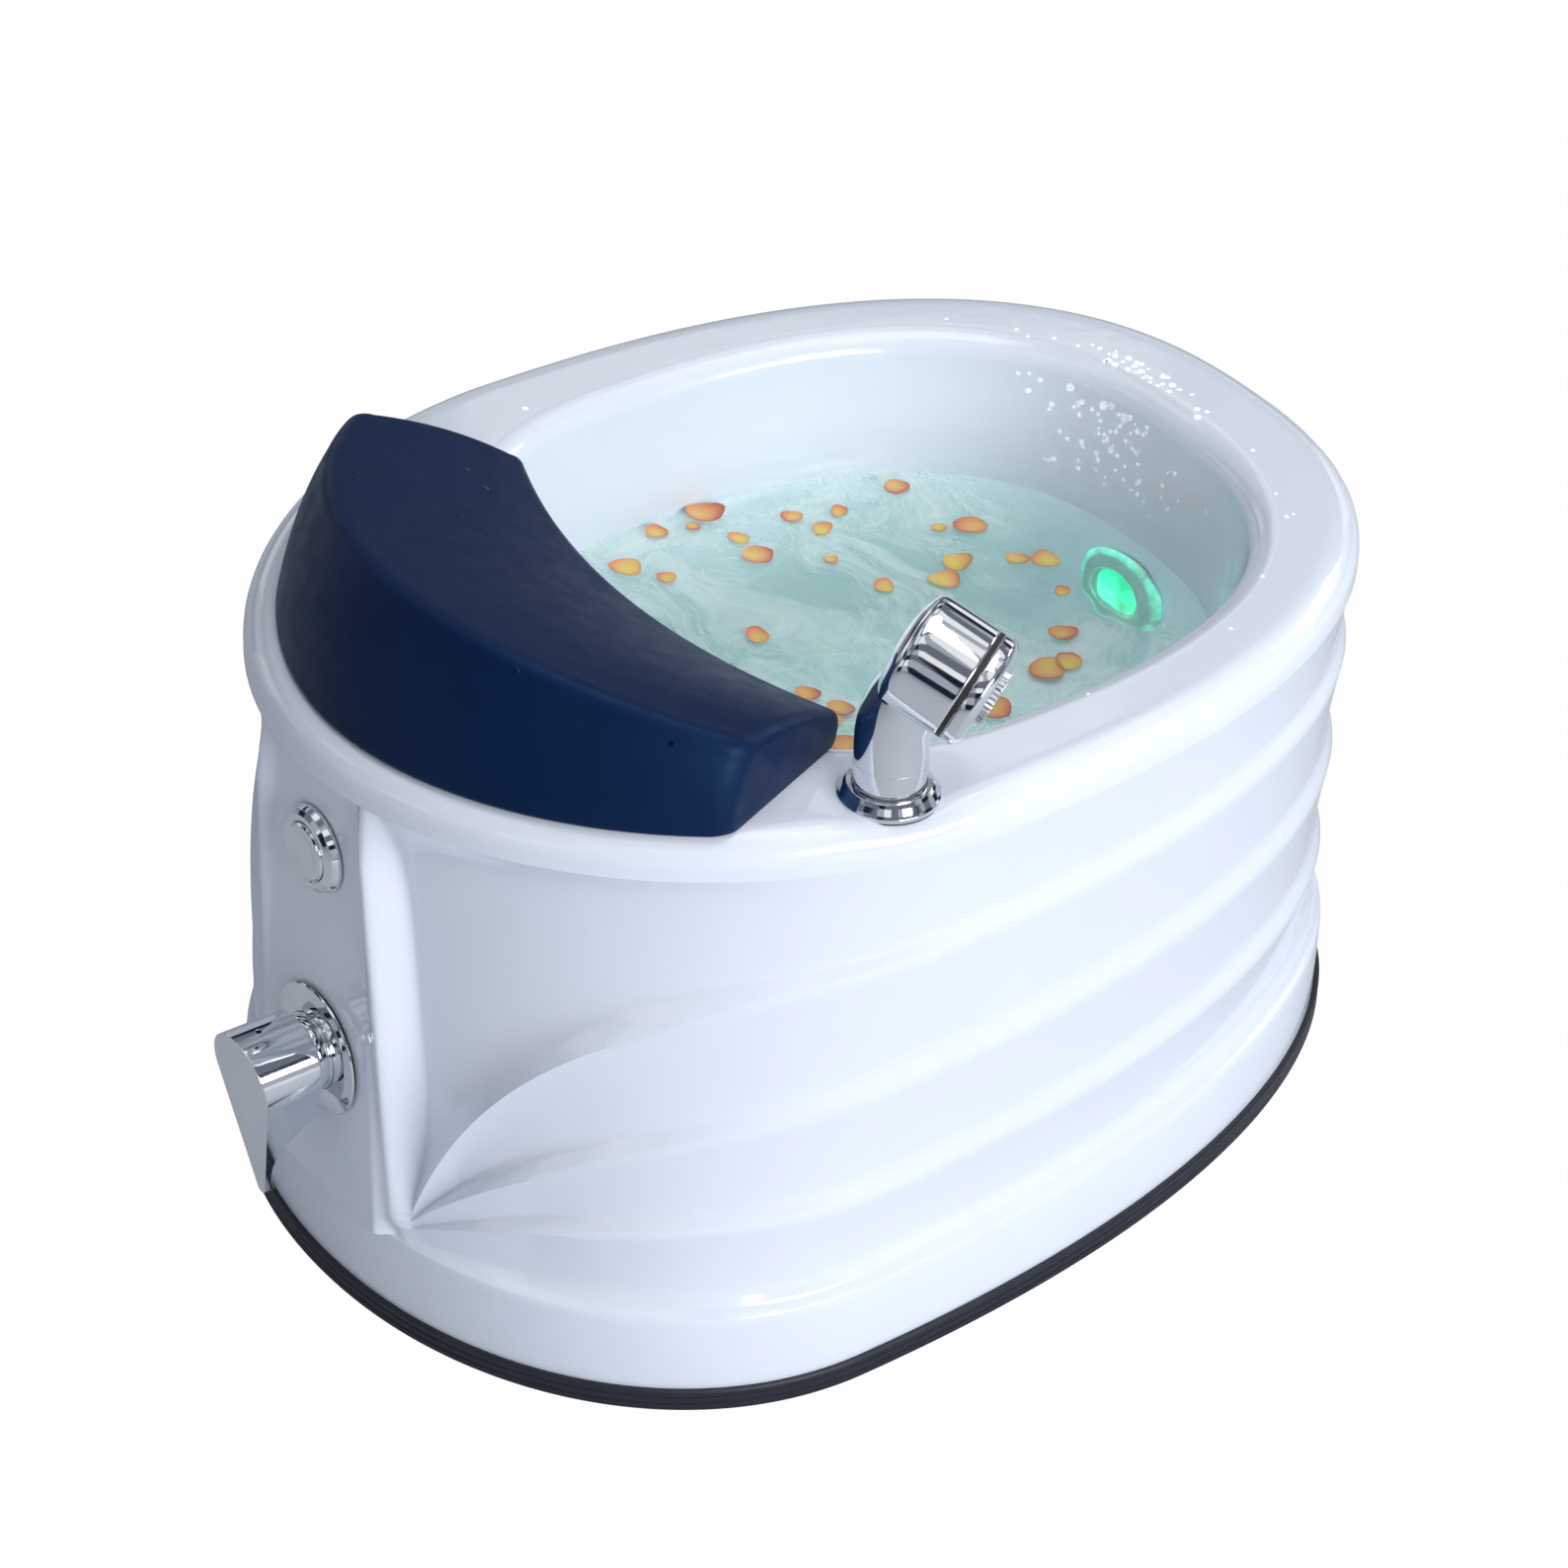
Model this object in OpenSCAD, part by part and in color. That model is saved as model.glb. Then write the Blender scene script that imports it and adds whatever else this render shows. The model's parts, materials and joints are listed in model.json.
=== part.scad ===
// Free-standing pedicure foot-spa tub with footrest, pull-out sprayer, lever mixer,
// air button and underwater light.
// Millimetres. +Z is up, the floor is z = 0. The control panel faces -Y, the client sits
// at the +Y end, and the sprayer stands on the +X side of the rim.

/* [Rim and bowl] */
// Height of the rim above the floor
rim_h = 335; // [300:1:380]
// Half width of the rim
rim_half_w = 225; // [205:1:240]
// Reach of the rim from its widest line to the control panel end
rim_front = 249; // [230:1:258]
// Reach of the rim from its widest line to the client end
rim_back = 342; // [325:1:355]
// Y place of the widest line of the rim
rim_wide_y = -52; // [-62:1:-42]
// Outer edge radius of the rim
rim_edge_r = 16; // [12:1:20]
// Inner edge radius of the rim
bowl_edge_r = 14; // [10:1:18]
// Depth of the turned-down lip
lip_drop = 22; // [20:1:28]
// Thickness of the moulded basin
basin_wall = 5; // [4:0.5:6]
// Half width of the bowl opening
bowl_half_w = 168; // [155:1:174]
// Reach of the bowl opening towards the panel from y = 0
bowl_front = 150; // [140:1:160]
// Reach of the bowl opening towards the client from y = 0
bowl_back = 227; // [215:1:235]
// How much narrower the bowl floor is than the opening, all round
bowl_draft = 40; // [30:1:46]
// Height of the bowl floor
bowl_floor_z = 100; // [92:1:115]
// Fall of the bowl floor towards the drain
floor_fall = 3; // [2:0.5:5]
// Fillet between bowl wall and floor
floor_fillet = 38; // [30:1:42]
// Radius of the soft dish round the sprayer
dish_r = 42; // [36:1:46]
// Depth of the soft dish round the sprayer
dish_depth = 3; // [2:0.5:4]

/* [Skirt] */
// How much narrower the base is than the rim, on each side
base_inset = 7; // [0:1:20]
// Reach of the base from its widest line to the panel end
base_front = 182; // [175:1:195]
// Reach of the base from its widest line to the client end
base_back = 436; // [420:1:450]
// Y place of the widest line of the base
base_wide_y = -112; // [-122:1:-102]
// Thickness of the skirt moulding
skirt_wall = 5; // [4:0.5:6]
// Height of the plain plinth band
plinth_h = 56; // [50:1:62]
// Step from the plinth in to the fluted wall on the sides
plinth_step = 5; // [3:0.5:7]
// Height of the lower flute crest on the sides
crest_low = 110; // [104:1:118]
// Height of the middle flute crest on the sides
crest_mid = 183; // [174:1:192]
// Height of the upper flute crest on the sides
crest_high = 256; // [246:1:264]
// Depth of the flutes on the sides
flute_depth = 6; // [4:0.5:8]
// Depth of the cove beside each pillar
cove_depth = 15; // [10:1:18]
// Half width of the flat control panel under the lip
panel_half_w = 34; // [32:1:38]
// How much wider the panel is at its foot, on each side
panel_flare = 14; // [10:1:18]
// Width of the pillar rib beside the panel
pillar_w = 18; // [14:1:22]
// How far the pillar stands out beyond the flute crests
pillar_out = 5; // [3:0.5:7]
// Set-back of the panel behind the rim front
panel_inset = 8; // [4:0.5:12]

/* [Base] */
// Height of the rubber trim
trim_h = 12; // [10:1:16]
// Thickness of the rubber trim
trim_wall = 3; // [2.5:0.5:4]
// Height of the skirt edge inside the trim
trim_sole = 4; // [3:0.5:5]
// Thickness of the base board
board_t = 12; // [9:1:16]
// Radius of the bowl support posts
post_r = 12; // [9:1:15]
// Distance of the support posts from the bowl axis along X
post_x = 58; // [50:1:64]
// Distance of the support posts from the bowl axis along Y
post_y = 66; // [58:1:72]

/* [Footrest] */
// How far the ends of the footrest's inner edge lie inside the rim's half width
rest_end_in = 89; // [80:1:98]
// Y place of the middle of the inner edge
rest_inner_y = -118; // [-124:1:-108]
// How far the ends of the inner edge come forward of its middle
rest_inner_bow = 29; // [22:1:32]
// Part of the rim, in degrees from the panel, under each half of the footrest
rest_sweep = 55; // [48:1:58]
// Set-back of the footrest from the rim edge
rest_margin = 10; // [6:1:14]
// Height of the footrest crest above the rim
rest_crest = 76; // [62:1:84]
// Height of the inner edge above the rim
rest_low = 15; // [12:1:22]
// Sideways place of the footrest on the rim
rest_shift = 9; // [0:1:10]
// Lean of the outer face at the middle
rest_lean = 32; // [24:1:40]
// Crown of the padded faces
rest_crown = 4; // [2:0.5:6]

/* [Sprayer] */
// Distance of the sprayer axis inside the widest point of the rim
sprayer_in = 34; // [32:1:37]
// Y place of the sprayer
sprayer_y = -97; // [-102:1:-92]
// Radius of the deck collar
collar_r = 25; // [23:0.5:27]
// Radius of the sprayer stem
stem_r = 18; // [16:0.5:19]
// Radius of the sprayer shank in the bush
shank_r = 11; // [9:0.5:12]
// Radius of the spray head
head_r = 29; // [27:0.5:30]
// Length of the spray head body
head_len = 34; // [31:1:36]
// Dip of the spray head axis below level
head_dip = 24; // [15:1:30]

/* [Mixer] */
// Height of the mixer axis
mixer_z = 142; // [136:1:150]
// Radius of the mixer escutcheon
escutcheon_r = 35; // [33:0.5:37]
// Radius of the mixer hub
hub_r = 24; // [23:0.5:26]
// Length of the lever below the hub axis
lever_len = 73; // [66:1:78]

/* [Air button] */
// Depth of the air button axis below the rim
button_drop = 72; // [67:1:80]
// Radius of the air button bezel
bezel_r = 23; // [21:0.5:25]
// Radius of the air button cap
cap_r = 15; // [14:0.5:16]
// Travel of the air button
button_travel = 4; // [2:0.5:5]

/* [Light] */
// Depth of the light below the rim
light_drop = 123; // [113:1:135]
// Radius of the light bezel
light_r = 34; // [30:1:36]
// Radius of the light lens
lens_r = 20; // [17:0.5:22]

/* [Drain] */
// Y place of the drain
drain_y = 25; // [15:1:35]
// Radius of the drain flange
drain_r = 35; // [32:1:38]
// Radius of the drain bore
drain_bore_r = 20; // [18:0.5:22]

/* [Hidden] */
fit = 0.05;            // radial running fit of pins and shanks
slip = 0.2;            // radial room of parts that slide in by hand
seat_gap = 0.3;        // gap between resting parts that come apart
eps = 0.01;
round_fn = 72;

rim_n_front = 1.92;
rim_n_back = 2.4;
base_n_front = 2.05;
base_n_back = 2.15;
bowl_n_front = 2.4;
bowl_n_back = 2.5;

face_out = 45.5;        // place of the lever face in front of the panel, at the mixer axis
face_slope = 8;
base_half_w = rim_half_w - base_inset;
rest_half_l = rim_half_w - rest_end_in;
sprayer_x = rim_half_w - sprayer_in;
button_z = rim_h - button_drop;
light_z = rim_h - light_drop;
head_az = 33;                  // turn of the head from +X towards the client
head_back = -4.5;       // place of the head's back from the point it turns about
ring_t = 2.4;
dial_t = 9;
dial_bevel = 3;
face_z = head_len - head_back;
// How far the dial reaches out from the sprayer's axis along X.
head_out_x = cos(head_dip) * cos(head_az);
head_reach = head_out_x * (face_z + ring_t + seat_gap + dial_t)
             + sqrt(1 - head_out_x * head_out_x) * (head_r - dial_bevel);
// The places above are counted from the middle of the bowl. mid_x and mid_y put the origin
// under the middle of the whole tub, from lever to client end and from rim to spray head.
mid_x = -(sprayer_x + head_reach - rim_half_w) / 2;
panel_reach = rim_wide_y - rim_front + panel_inset;
lever_reach = panel_reach - face_out - hub_r * tan(face_slope);
mid_y = -(lever_reach + base_wide_y + base_back) / 2;
panel_y = panel_reach + mid_y;

rim_plan = [rim_half_w, rim_front, rim_back, rim_wide_y + mid_y, rim_n_front, rim_n_back];
base_plan = [base_half_w, base_front, base_back, base_wide_y + mid_y, base_n_front, base_n_back];
bowl_plan = [bowl_half_w, bowl_front, bowl_back, mid_y, bowl_n_front, bowl_n_back];
floor_plan = [bowl_half_w - bowl_draft, bowl_front - bowl_draft, bowl_back - bowl_draft, mid_y,
              bowl_n_front, bowl_n_back];

// ---- plan outlines -------------------------------------------------------
// A plan outline is two half superellipses that share their widest line. a is the
// angle from the panel end (0) round the +X side to the client end (180) and back.
function plan_point(p, a) =
    let (s = sin(a), c = cos(a), front = c > 0,
         n = front ? p[4] : p[5], reach = front ? p[1] : p[2])
    [mid_x + p[0] * sign(s) * pow(abs(s), 2 / n), p[3] - reach * sign(c) * pow(abs(c), 2 / n)];
function plan_normal(p, a) =
    let (d = plan_point(p, a + 0.4) - plan_point(p, a - 0.4))
    [d[1], -d[0]] / norm(d);
function plan_offset(p, a, out) = plan_point(p, a) + plan_normal(p, a) * out;
function mix(a, b, t) = a * (1 - t) + b * t;
function smooth(t) = let (u = min(1, max(0, t))) u * u * (3 - 2 * u);

// Stations round the tub: close together at the panel edges and pillars, then even.
front_x = [0, panel_half_w * 0.5, panel_half_w * 0.9,
           for (k = [0 : 9]) panel_half_w + (panel_flare + pillar_w * 1.6) * k / 9];
function front_angle(x) = asin(pow(x / rim_half_w, rim_n_front / 2));
side_steps = 32;
last_front = front_angle(front_x[len(front_x) - 1]);
half_angles = [for (x = front_x) front_angle(x),
               for (i = [1 : side_steps]) last_front + (180 - last_front) * i / side_steps];
half_count = len(half_angles);
angles = [for (a = half_angles) a, for (i = [half_count - 2 : -1 : 1]) -half_angles[i]];
count = len(angles);

// Side faces of a closed band of rings; every ring holds count points.
function band_faces(rings) =
    [for (r = [0 : rings - 2]) for (i = [0 : count - 1])
        let (j = (i + 1) % count, a = r * count + i, b = r * count + j,
             c = (r + 1) * count + j, d = (r + 1) * count + i)
        each [[a, b, c], [a, c, d]]];

// ---- basin ---------------------------------------------------------------
sprayer_at = [sprayer_x + mid_x, sprayer_y + mid_y];
wall_top_z = rim_h - bowl_edge_r;
function dish(p) = let (d = norm([p[0], p[1]] - sprayer_at) / dish_r)
    d < 1 ? dish_depth * pow(1 - d * d, 2) : 0;
// Wall of the bowl at height z, offset outwards by out.
function bowl_wall_point(a, z, out) =
    let (t = (z - bowl_floor_z) / (wall_top_z - bowl_floor_z))
    mix(plan_offset(floor_plan, a, out), plan_offset(bowl_plan, a, out), t);
function at_z(p, z) = [p[0], p[1], z];
function bend(p0, p1, p2, t) = p0 * pow(1 - t, 2) + p1 * 2 * t * (1 - t) + p2 * t * t;

// One ring of the basin at each of these steps; t is the depth below the show face.
edge_steps = 4;
wall_steps = 3;
function lip_ring(t, z) = [for (a = angles) at_z(plan_offset(rim_plan, a, -t), z)];
function outer_edge_ring(t, k) =
    let (q = 90 * k / edge_steps, r = rim_edge_r - t)
    [for (a = angles)
        at_z(plan_offset(rim_plan, a, -rim_edge_r + r * cos(q)), rim_h - rim_edge_r + r * sin(q))];
function inner_edge_ring(t, k) =
    let (q = 90 * k / edge_steps, r = bowl_edge_r - t)
    [for (a = angles)
        at_z(plan_offset(bowl_plan, a, bowl_edge_r - r * sin(q)), wall_top_z + r * cos(q))];
function wall_ring(t, k) =
    let (z = mix(wall_top_z, bowl_floor_z + floor_fillet, k / wall_steps))
    [for (a = angles) at_z(bowl_wall_point(a, z, t), z)];
function fillet_ring(t, k) =
    [for (a = angles)
        bend(at_z(bowl_wall_point(a, bowl_floor_z + floor_fillet, t), bowl_floor_z + floor_fillet),
             at_z(plan_offset(floor_plan, a, t), bowl_floor_z - t),
             at_z(plan_offset(floor_plan, a, -floor_fillet), bowl_floor_z - t), k / edge_steps)];
drain_at = [mid_x, drain_y + mid_y];
function floor_ring(t, k) =
    [for (a = angles)
        at_z(mix(drain_at, plan_offset(floor_plan, a, -floor_fillet), k),
             bowl_floor_z - t - (k < 0.5 ? floor_fall : 0))];
function basin_face(t) =
    [lip_ring(t, rim_h - lip_drop),
     for (k = [0 : edge_steps]) outer_edge_ring(t, k),
     for (k = [0 : edge_steps]) inner_edge_ring(t, k),
     for (k = [1 : wall_steps]) wall_ring(t, k),
     for (k = [1 : edge_steps]) fillet_ring(t, k),
     floor_ring(t, 0.62),
     floor_ring(t, 0.42)];
function dished(rings) =
    [for (ring = rings) for (p = ring)
        [p[0], p[1], p[2] - dish(p) * smooth((p[2] - rim_h + rim_edge_r) / (rim_edge_r - basin_wall))]];

light_tilt = atan(bowl_draft / (wall_top_z - bowl_floor_z));
light_y = bowl_wall_point(180, light_z, 0)[1];
light_seat = -0.4;      // flat spot cut into the curved wall
module light_place() translate([mid_x, light_y, light_z]) rotate([90 - light_tilt, 0, 0]) children();

collar_seat_z = rim_h - dish_depth - 0.8;
bush_r = shank_r + 4;
collar_hole_r = bush_r + 3.3;
drain_seat_z = bowl_floor_z - floor_fall - 1;
drain_hole_r = drain_bore_r + 4;
light_hole_r = lens_r + 4;

module basin() {
    show = basin_face(0);
    back = basin_face(basin_wall);
    rings = len(show);
    points = [each dished(show), each dished(back)];
    top = rings * count;
    faces = [for (f = band_faces(rings)) [f[0], f[2], f[1]],
             for (f = band_faces(rings)) [for (v = f) v + top],
             for (i = [0 : count - 1]) let (j = (i + 1) % count)
                 each [[i, j, top + j], [i, top + j, top + i]],
             [for (i = [count - 1 : -1 : 0]) top - count + i],
             [for (i = [0 : count - 1]) 2 * top - count + i]];
    color("white")
    difference() {
        polyhedron(points, faces);
        translate(at_z(sprayer_at, collar_seat_z))
            cylinder(r = collar_r + 0.4, h = 20, $fn = round_fn);
        translate(at_z(sprayer_at, rim_h - 30))
            cylinder(r = collar_hole_r, h = 60, $fn = round_fn);
        light_place()
            translate([0, 0, -30]) cylinder(r = light_hole_r, h = 60, $fn = round_fn);
        light_place()
            translate([0, 0, light_seat]) cylinder(r = light_r + 0.4, h = 30, $fn = round_fn);
        translate(at_z(drain_at, drain_seat_z))
            cylinder(r = drain_r + 0.4, h = 30, $fn = round_fn);
        translate(at_z(drain_at, drain_seat_z - 30))
            cylinder(r = drain_hole_r, h = 60, $fn = round_fn);
    }
}

// ---- skirt ---------------------------------------------------------------
lip_z = rim_h - lip_drop;
fan_z = plinth_h + 10;         // height at which the flute crests meet the pillar foot
fan_start = front_angle(panel_half_w + panel_flare + pillar_w * 0.9);
fan_rate = [22, 28, 19];       // degrees in which each crest climbs most of its height
crest_z = [crest_low, crest_mid, crest_high];
function crest_height(k, a) =
    let (d = max(0, abs(a) - fan_start))
    mix(fan_z + 5 * k, crest_z[k], 1 - exp(-d / fan_rate[k]));
function body_step(a) = mix(1.5, plinth_step, smooth((abs(a) - fan_start) / 25));
// Outline of the flute crests at height z, between the plinth and the lip.
function crest_point(a, z, out) =
    let (t = (z - plinth_h) / (lip_z - plinth_h))
    mix(plan_offset(base_plan, a, -trim_wall - body_step(a) + out),
        plan_offset(rim_plan, a, -0.4 + out), t);
cove_end = fan_start + 58;
function cove_share(a) = 1 - smooth((abs(a) - fan_start) / (cove_end - fan_start));
// Depth of the surface behind the crest outline, v running up one band from crest to crest.
function band_depth(band, a, v) =
    let (top = band == 3, share = top ? cove_share(a) : 0,
         deep = mix(flute_depth, cove_depth, share) *
                min(1, (band_top(band, a) - band_foot(band, a)) / 30),
         power = mix(2, 5, share))
    deep * (1 - pow(abs(2 * v - 1), power));
function band_foot(band, a) = band == 0 ? plinth_h : crest_height(band - 1, a);
function band_top(band, a) = band == 3 ? lip_z : crest_height(band, a);
// Half width of the panel at height z, and shares that tell panel, pillar and flutes apart.
function panel_edge(z) = panel_half_w + panel_flare * (lip_z - z) / (lip_z - plinth_h);
function pillar_share(x, z) = smooth((abs(x) - panel_edge(z) - pillar_w * 0.5) / (pillar_w * 0.75));
function panel_share(x, z) = 1 - smooth((abs(x) - panel_edge(z)) / (pillar_w * 0.45));
function pillar_rib(x, z) =
    let (d = (abs(x) - panel_edge(z) - pillar_w * 0.5) / (pillar_w * 0.6))
    pillar_out * pow(max(0, 1 - d * d), 2) * smooth((z - plinth_h) / 16) * smooth((lip_z - z) / 26);
// The skirt face: flutes behind the crest outline, blended to the pillars and the flat panel.
function skirt_point(band, a, v, in) =
    let (z = mix(band_foot(band, a), band_top(band, a), v),
         x = crest_point(a, z, 0)[0] - mid_x,
         front = abs(a) < 90,
         rib = front ? pillar_rib(x, z) : 0,
         p = crest_point(a, z, rib - band_depth(band, a, v) * pillar_share(x, z) - in),
         w = front ? panel_share(x, z) : 0)
    at_z([p[0], mix(p[1], panel_y + in, w)], z);
band_v = [0, 0.14, 0.5, 0.86];
function skirt_rings(in) =
    [for (z = [trim_sole, plinth_h - 4])
        [for (a = angles) at_z(plan_offset(base_plan, a, -trim_wall - in), z)],
     [for (a = angles) at_z(plan_offset(base_plan, a, -trim_wall - 1.2 - in), plinth_h - 1)],
     for (band = [0 : 3]) for (v = band_v)
         [for (a = angles) skirt_point(band, a, band == 0 && v == 0 ? 0.02 : v, in)],
     [for (a = angles) skirt_point(3, a, 0.97, in)]];
tongue_top = rim_h - rim_edge_r;
tongue_out = basin_wall + seat_gap;
function shoulder_ring(out, z) = [for (a = angles) at_z(plan_offset(rim_plan, a, out), z)];

module skirt() {
    outer = [each skirt_rings(0), shoulder_ring(-0.2, lip_z), shoulder_ring(-tongue_out, lip_z),
             shoulder_ring(-tongue_out, tongue_top)];
    inner = [each skirt_rings(skirt_wall), shoulder_ring(-tongue_out - 4, lip_z - 3),
             shoulder_ring(-tongue_out - 4, lip_z), shoulder_ring(-tongue_out - 4, tongue_top)];
    rings = len(outer);
    points = [for (ring = outer) each ring, for (ring = inner) each ring];
    top = rings * count;
    faces = [for (f = band_faces(rings)) [f[0], f[2], f[1]],
             for (f = band_faces(rings)) [for (v = f) v + top],
             for (i = [0 : count - 1]) let (j = (i + 1) % count)
                 each [[i, j, top + j], [i, top + j, top + i],
                       [top - count + i, 2 * top - count + j, top - count + j],
                       [top - count + i, 2 * top - count + i, 2 * top - count + j]]];
    color("white")
    difference() {
        polyhedron(points, faces);
        panel_place(mixer_z) translate([0, 0, -30]) cylinder(r = mixer_hole_r, h = 60, $fn = round_fn);
        panel_place(button_z) translate([0, 0, -30]) cylinder(r = button_hole_r, h = 60, $fn = round_fn);
    }
}

// ---- base ----------------------------------------------------------------
function plan_loop(p, out) = [for (a = angles) plan_offset(p, a, out)];
module base_trim()
    color("#15171f")
    difference() {
        linear_extrude(trim_h) polygon(plan_loop(base_plan, 0));
        translate([0, 0, trim_sole])
            linear_extrude(trim_h)
                difference() {
                    polygon(plan_loop(base_plan, -trim_wall));
                    polygon(plan_loop(base_plan, -trim_wall - skirt_wall));
                }
        translate([0, 0, -1])
            linear_extrude(trim_h + 2) polygon(plan_loop(base_plan, -2 * trim_wall - skirt_wall));
    }

board_z = trim_h;
board_top = board_z + board_t;
service_r = 40;
hose_hole_in = 85;      // place of the supply hoses' hole behind the panel
screw_hole_r = 2.2;
module base_board()
    color("tan")
    difference() {
        translate([0, 0, board_z])
            linear_extrude(board_t)
                polygon(plan_loop(base_plan, -trim_wall - skirt_wall - seat_gap));
        translate(at_z(drain_at, 0)) cylinder(r = service_r, h = rim_h / 2, $fn = round_fn);
        translate([mid_x, panel_y + hose_hole_in, 0]) cylinder(r = service_r, h = rim_h / 2, $fn = round_fn);
        for (a = bracket_angles) bracket_place(a)
            translate([-bracket_h / 2 - 2, 0, -board_t + 2])
                cylinder(r = screw_hole_r, h = board_t, $fn = 32);
    }

bowl_under_z = bowl_floor_z - basin_wall;
pad_t = 3;
post_nut_h = 8;
module bowl_supports()
    color("silver")
    for (x = [-post_x, post_x]) for (y = [-post_y, post_y])
        translate(at_z(drain_at + [x, y], 0)) {
            translate([0, 0, board_top]) cylinder(r = post_r, h = 4, $fn = 48);
            translate([0, 0, board_top]) cylinder(r = post_r / 2, h = bowl_under_z - pad_t - board_top, $fn = 48);
            translate([0, 0, bowl_under_z - pad_t - 5]) cylinder(r = post_r, h = 5, $fn = 48);
            translate([0, 0, board_top + 4]) cylinder(r = post_r * 0.75, h = post_nut_h, $fn = 6);
        }
module support_pads()
    color("#222222")
    for (x = [-post_x, post_x]) for (y = [-post_y, post_y])
        translate(at_z(drain_at + [x, y], bowl_under_z - pad_t)) cylinder(r = post_r, h = pad_t, $fn = 48);

// ---- footrest ------------------------------------------------------------
rest_steps = 30;
rest_bottom = rim_h + seat_gap;
corner_steps = 4;
function rest_outer(s) = plan_offset(rim_plan, s * rest_sweep, -rest_margin) + [rest_shift, 0];
function rest_inner(s) = [mid_x + rest_half_l * s + rest_shift, rest_inner_y + mid_y + rest_inner_bow * s * s];
// Corner of a section drawn as a curve that leaves the corner r away on both sides.
function corner(p, before, after, r) =
    let (a = p + (before - p) / norm(before - p) * r, b = p + (after - p) / norm(after - p) * r)
    [for (k = [0 : corner_steps]) bend(a, p, b, k / corner_steps)];
// Side of a section, bowed outwards by the crown of the padding.
function side_mid(p, q, bow) =
    let (d = q - p) [(p + q) / 2 + [-d[1], d[0]] / norm(d) * bow];
rest_foot_r = 6;
rest_ridge_r = 11;
rest_nose_r = 8;
rest_heel_r = 5;
function rest_section(width, lean, crest) =
    let (a = [0, 0], b = [lean, crest], c = [width, rest_low], d = [width - 4, 0])
    [each corner(a, d, b, rest_foot_r), each side_mid(a, b, rest_crown),
     each corner(b, a, c, rest_ridge_r), each side_mid(b, c, rest_crown),
     each corner(c, b, d, rest_nose_r), each corner(d, c, a, rest_heel_r)];
rest_fall = [0.29, 0.42]; // part of the crest height lost at the far end and beside the sprayer
rest_lean_fall = 0.43;
rest_end_inset = [7, 3.4, 1, 0];
rest_end_pull = [0, 1, 3.4, 8];
rest_reach = 185;       // length of one half of the footrest along its middle
function rest_stations() =
    let (n = rest_steps)
    [for (k = [0 : 3]) [-1, k], for (i = [1 : n - 1]) [-1 + 2 * i / n, 3], for (k = [3 : -1 : 0]) [1, k]];
// A station is carried back from the end face, and its section shrunk to round the end.
function rest_ring(st) =
    let (pull = rest_end_pull[st[1]], inset = rest_end_inset[st[1]],
         s = st[0] * (1 - pull / rest_reach),
         o = rest_outer(s), i = rest_inner(s), w = norm(i - o), dir = (i - o) / w,
         crest = rest_crest * (1 - rest_fall[s < 0 ? 0 : 1] * s * s),
         sec = rest_section(w, rest_lean * (1 - rest_lean_fall * s * s), crest))
    [for (q = sec) at_z(o + dir * mix(q[0], w / 2, 2 * inset / w), rest_bottom + q[1] * (1 - inset / crest))];
recess_depth = 9;
plate_t = 6;
cup_r = 14;
cup_s = [-0.72, 0, 0.72];
function rest_middle(s) = mix(rest_outer(s), rest_inner(s), 0.3);
module footrest() {
    st = rest_stations();
    rings = [for (q = st) rest_ring(q)];
    per = len(rings[0]);
    total = len(rings);
    faces = [for (r = [0 : total - 2]) for (i = [0 : per - 1])
                 let (j = (i + 1) % per, a = r * per + i, b = r * per + j)
                 each [[a, b + per, a + per], [a, b, b + per]],
             [for (i = [per - 1 : -1 : 0]) i],
             [for (i = [0 : per - 1]) (total - 1) * per + i]];
    color("#1c2c52")
    difference() {
        polyhedron([for (ring = rings) each ring], faces);
        for (s = cup_s)
            translate([rest_middle(s)[0], rest_middle(s)[1], rest_bottom - 1])
                cylinder(r = cup_r + 4, h = 1 + recess_depth, $fn = 48);
    }
}
module footrest_inserts()
    color("#333333")
    for (s = cup_s)
        translate([rest_middle(s)[0], rest_middle(s)[1], rest_bottom + recess_depth - plate_t])
            cylinder(r = cup_r + 3.7, h = plate_t, $fn = 48);
module suction_cups()
    color("#8a8f96")
    for (s = cup_s)
        translate([rest_middle(s)[0], rest_middle(s)[1], rim_h])
            rotate_extrude($fn = 48)
                polygon([[0, 1.2], [cup_r * 0.7, 0.6], [cup_r, 0.3], [cup_r, 1], [cup_r * 0.5, 2.4],
                         [4, rest_bottom - rim_h + recess_depth - plate_t],
                         [0, rest_bottom - rim_h + recess_depth - plate_t]]);

// ---- sprayer -------------------------------------------------------------
module sprayer_place() translate(at_z(sprayer_at, collar_seat_z)) children();
collar_gasket_t = 1.2;
collar_h = 9;
collar_lip_r = collar_r - 4;
under_rim = rim_h - basin_wall - dish_depth * pow(1 - pow(collar_hole_r / dish_r, 2), 2)
            - collar_seat_z - 0.1;
barrel_len = 34;
barrel_r = collar_hole_r - slip;
module sprayer_collar()
    color("silver")
    sprayer_place()
        rotate_extrude($fn = round_fn)
            polygon([[bush_r + fit, -barrel_len], [barrel_r, -barrel_len], [barrel_r, collar_gasket_t],
                     [collar_r, collar_gasket_t], [collar_r, collar_gasket_t + 2],
                     [collar_r - 1, collar_gasket_t + 3.2], [collar_lip_r + 1, collar_h - 1.6],
                     [collar_lip_r - 0.4, collar_h], [bush_r + 3, collar_h], [bush_r + fit, collar_h - 1.5]]);
module collar_gasket()
    color("#1a1a1a")
    sprayer_place()
        difference() {
            cylinder(r = collar_r - 0.5, h = collar_gasket_t, $fn = round_fn);
            translate([0, 0, -1]) cylinder(r = barrel_r + fit, h = 4, $fn = round_fn);
        }
nut_h = 6;
nut_over = 4;
nut_neck = 2;           // raised face that keeps the nut clear of the rolled edge
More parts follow.
